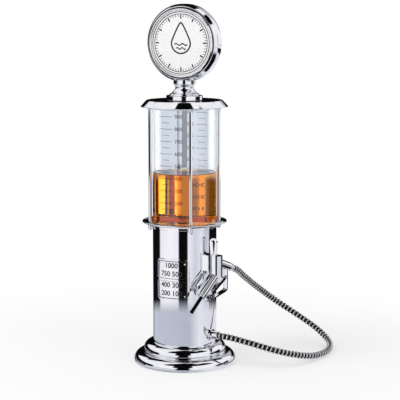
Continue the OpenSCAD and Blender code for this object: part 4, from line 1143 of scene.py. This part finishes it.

# %% [markdown]
# The valve's spring shortens when the trigger lifts the plunger. Here it is a copy of the wound wire,
# its faces turned outward, with a mesh of its own.

spring = solid_copy("valve_spring", "valve_spring_wound")
face_outward(spring)
bpy.ops.object.shade_smooth_by_angle(angle=WOUND_SHARP)
settle(spring, "nozzle", steel, "steel", "valve_spring")
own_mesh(spring)

# %% [markdown]
# The front plate is pressed from bright strip, with a raised border round its two panels, and four rivets
# hold it. A mirror among mirrors shows by its edges alone, so those get a fine rounding.

# %% Front plate
settle(dress("front_plate", "front_plate_pressed", 0.2), "root", chrome, "chrome", "front_plate")
settle(dress("plate_rivets", "plate_rivet_heads", 0.1), "root", chrome, "steel", "plate_rivets")

# %% [markdown]
# Print on the reservoir, the plate and the sign is ink with hardly any thickness. It is laid out flat and
# upright, like a decal, from text objects and thin bars; a decal for a round surface is cut into narrow
# strips and wrapped on it.

# %% Numbers and bars
INK_THICKNESS = 0.08
# A digit's height as a share of the font's size
DIGIT_SHARE = 0.7


def number(text, height, at, bold=0.0):
    """A number as a mesh, upright, its middle at a place (across, up) in millimetres."""
    bpy.ops.object.select_all(action="DESELECT")
    bpy.ops.object.text_add(rotation=(math.pi / 2, 0, 0), location=(at[0] * MM, 0, at[1] * MM))
    words = bpy.context.object
    words.data.body = text
    words.data.size = height * MM / DIGIT_SHARE
    words.data.align_x = "CENTER"
    words.data.align_y = "CENTER"
    words.data.extrude = INK_THICKNESS * MM / 2
    words.data.offset = bold * MM
    words.data.resolution_u = 3
    bpy.ops.object.convert(target="MESH")
    digits = bpy.context.object
    fix_place(digits)
    return digits


def bar(width, height, at):
    """A thin bar of ink, its middle at a place (across, up) in millimetres."""
    bpy.ops.object.select_all(action="DESELECT")
    bpy.ops.mesh.primitive_cube_add(size=1, location=(at[0] * MM, 0, at[1] * MM))
    line = bpy.context.object
    line.scale = (width * MM, INK_THICKNESS * MM, height * MM)
    fix_place(line)
    return line


# %% Lines and decals
STRIP = 1.2


def leave_line(face, line):
    """Inset a flat face, take its inside away and give the line that is left the ink's thickness."""
    open_mesh(face)
    bpy.ops.mesh.inset(thickness=line * MM)
    bpy.ops.mesh.delete(type="FACE")
    bpy.ops.mesh.select_all(action="SELECT")
    bpy.ops.mesh.extrude_region_move(TRANSFORM_OT_translate={"value": (0, INK_THICKNESS * MM, 0)})
    bpy.ops.object.mode_set(mode="OBJECT")
    return face


def decal(name, marks):
    """Join marks to one piece."""
    choose(*marks)
    if len(marks) > 1:
        bpy.ops.object.join()
    marks[0].name = name
    return marks[0]


def wrap(piece, radius, bearing):
    """Cut an upright decal into strips and wrap it round the object's axis; bearing 0 is the front."""
    across = [vertex.co.x for vertex in piece.data.vertices]
    cut = min(across) + STRIP * MM
    open_mesh(piece)
    while cut < max(across):
        bpy.ops.mesh.bisect(plane_co=(cut, 0, 0), plane_no=(1, 0, 0))
        bpy.ops.mesh.select_all(action="SELECT")
        cut += STRIP * MM
    face_outward(piece)
    for vertex in piece.data.vertices:
        angle = bearing + vertex.co.x / radius
        reach = radius - vertex.co.y
        vertex.co = (reach * math.sin(angle), -reach * math.cos(angle), vertex.co.z)


# %% [markdown]
# The reservoir's scale has a long mark and a number every 100 ml and a short mark between them. The real one
# is printed on the outside of the glass, front and back, so the back scale shows through, mirrored.

# %% Reservoir scale
SCALE_TOP = 354.0
SCALE_STEP = 17.2
SCALE_NUMBERS = range(900, 0, -100)
NUMBER_HEIGHT = 5.2
NUMBER_ACROSS = 10.75
LONG_MARK = (21.3, 0.55)
LONG_ACROSS = -8.85
SHORT_MARK = (11.8, 0.5)
SHORT_ACROSS = -8.5
PRINT_LIFT = 0.03

for side_name, facing in (("front", 0.0), ("back", math.pi)):
    marks = []
    for k, millilitres in enumerate(SCALE_NUMBERS):
        level = SCALE_TOP - SCALE_STEP * k
        marks.append(bar(*LONG_MARK, (LONG_ACROSS, level)))
        marks.append(bar(*SHORT_MARK, (SHORT_ACROSS, level - SCALE_STEP / 2)))
        marks.append(number(str(millilitres), NUMBER_HEIGHT, (NUMBER_ACROSS, level)))
    scale_print = decal("reservoir_scale_" + side_name, marks)
    wrap(scale_print, (glass_radius + PRINT_LIFT) * MM, facing)
    settle(scale_print, "root", ink, None)

# %% [markdown]
# The plate's two panels each get a frame with rounded corners and two rows of plain numbers. A frame is a
# flat panel with bevelled corners: inset leaves its line and extrude gives the ink its thickness.

# %% Plate numbers
PLATE_MIDDLE = middle("front_plate").z / MM
PLATE_PRINT_RADIUS = 46.33 * MM
PLATE_ROWS = [("1000", 20.2), ("750 500", 8.4), ("400 300", -7.4), ("200 100", -19.4)]
PLATE_NUMBER_HEIGHT = 7.0
PLATE_NUMBER_BOLD = 0.22
PANEL_WIDTH = 44.4
PANEL_HEIGHT = 25.6
PANEL_RISE = 13.9
PANEL_CORNER = 3.0
FRAME_LINE = 1.0


def panel_frame(up):
    """A line round a panel with rounded corners."""
    bpy.ops.object.select_all(action="DESELECT")
    bpy.ops.mesh.primitive_plane_add(size=1, rotation=(math.pi / 2, 0, 0), location=(0, 0, up * MM))
    panel = bpy.context.object
    panel.scale = (PANEL_WIDTH * MM, PANEL_HEIGHT * MM, 1)
    fix_place(panel)
    open_mesh(panel)
    bpy.ops.mesh.bevel(affect="VERTICES", offset=PANEL_CORNER * MM, segments=6)
    bpy.ops.object.mode_set(mode="OBJECT")
    return leave_line(panel, FRAME_LINE)


marks = []
for text, up in PLATE_ROWS:
    marks.append(number(text, PLATE_NUMBER_HEIGHT, (0, PLATE_MIDDLE + up), PLATE_NUMBER_BOLD))
for side in (-1, 1):
    marks.append(panel_frame(PLATE_MIDDLE + side * PANEL_RISE))
plate_print = decal("plate_numbers", marks)
wrap(plate_print, PLATE_PRINT_RADIUS, 0.0)
settle(plate_print, "root", ink, None)

# %% [markdown]
# The sign carries a plain print: two rings, a wreath of ticks as on a gauge, and a drop with two ripples.
# A tick is drawn once and repeated by Spin, which makes copies when its duplicate option is on. The drop is
# a circle whose upper half is drawn to a point; inset leaves its outline.

# %% Sign marks
DROP_PINCH = 0.42
RIPPLE_WAVES = 2


def wreath(count, width, length, reach):
    """Ticks in a ring: one bar, spun round the middle as copies."""
    tick = bar(width, length, (0, reach))
    open_mesh(tick)
    bpy.ops.mesh.spin(
        steps=count - 1, dupli=True, angle=2 * math.pi * (count - 1) / count, center=(0, 0, 0), axis=(0, 1, 0)
    )
    bpy.ops.object.mode_set(mode="OBJECT")
    return tick


def drop_outline(radius, tip, line):
    """The outline of a drop: a circle with its upper half drawn up to a tip, inset by the line's width."""
    bpy.ops.object.select_all(action="DESELECT")
    bpy.ops.mesh.primitive_circle_add(
        vertices=96, radius=radius * MM, fill_type="NGON", rotation=(math.pi / 2, 0, 0)
    )
    drop = bpy.context.object
    fix_place(drop)
    for vertex in drop.data.vertices:
        rise = max(vertex.co.z / (radius * MM), 0)
        vertex.co.x *= 1 - DROP_PINCH * rise**1.5
        vertex.co.z += (tip - radius) * MM * rise**2
    return leave_line(drop, line)


def ripple(width, height, swell, up):
    """A wavy bar."""
    wave = bar(width, height, (0, up))
    open_mesh(wave)
    bpy.ops.mesh.subdivide(number_cuts=31)
    bpy.ops.object.mode_set(mode="OBJECT")
    for vertex in wave.data.vertices:
        vertex.co.z += swell * MM * math.sin(2 * math.pi * RIPPLE_WAVES * vertex.co.x / (width * MM))
    return wave


# %% Sign print
FACE_DEPTH = (sign_depth + INK_THICKNESS / 2) * MM
RING_LINE = 1.0


def ink_ring(reach):
    """A thin ring of ink that faces the front."""
    inner = reach - RING_LINE
    ring = turn("ring", [(inner, 0), (reach, 0), (reach, INK_THICKNESS), (inner, INK_THICKNESS)])
    ring.rotation_euler = (math.pi / 2, 0, 0)
    fix_place(ring)
    return ring


for side_name, half_turn in (("front", 0.0), ("back", math.pi)):
    marks = [
        wreath(count=60, width=0.9, length=2.6, reach=37.4),
        wreath(count=12, width=1.9, length=5.2, reach=36.1),
        drop_outline(radius=15.5, tip=29.0, line=2.2),
        ripple(width=20.0, height=1.9, swell=1.2, up=-2.0),
        ripple(width=15.0, height=1.9, swell=1.2, up=-7.5),
        ink_ring(43.4),
        ink_ring(40.4),
    ]
    sign_print = decal("sign_print_" + side_name, marks)
    facing = Matrix.Rotation(half_turn, 4, "Z") @ Vector((0, -FACE_DEPTH, 0))
    sign_print.matrix_world = Matrix.Translation(SIGN_MIDDLE + facing) @ Matrix.Rotation(half_turn, 4, "Z")
    fix_place(sign_print)
    face_outward(sign_print)
    settle(sign_print, "filler", ink, None)

# %% [markdown]
# What is left is inside or underneath: gaskets, screws, the valve and the feed tube keep their solids.
# Each takes the finish of its material slot in the record.

# %% Remaining nodes
SLOT_FINISHES = {
    "chrome": chrome, "hose_metal": hose_strip, "steel": steel, "brass": brass, "rubber": rubber,
    "silicone": silicone, "glass": glass, "sign_white": enamel,
}
for subpart in frame["record"]["subparts"]:
    solid = frame["nodes"][subpart["node"]]
    if not solid.hide_render:
        solid.data.materials.clear()
        solid.data.materials.append(SLOT_FINISHES[subpart["material_slot"]])
        print(subpart["node"], "keeps its solid as", subpart["material_slot"])
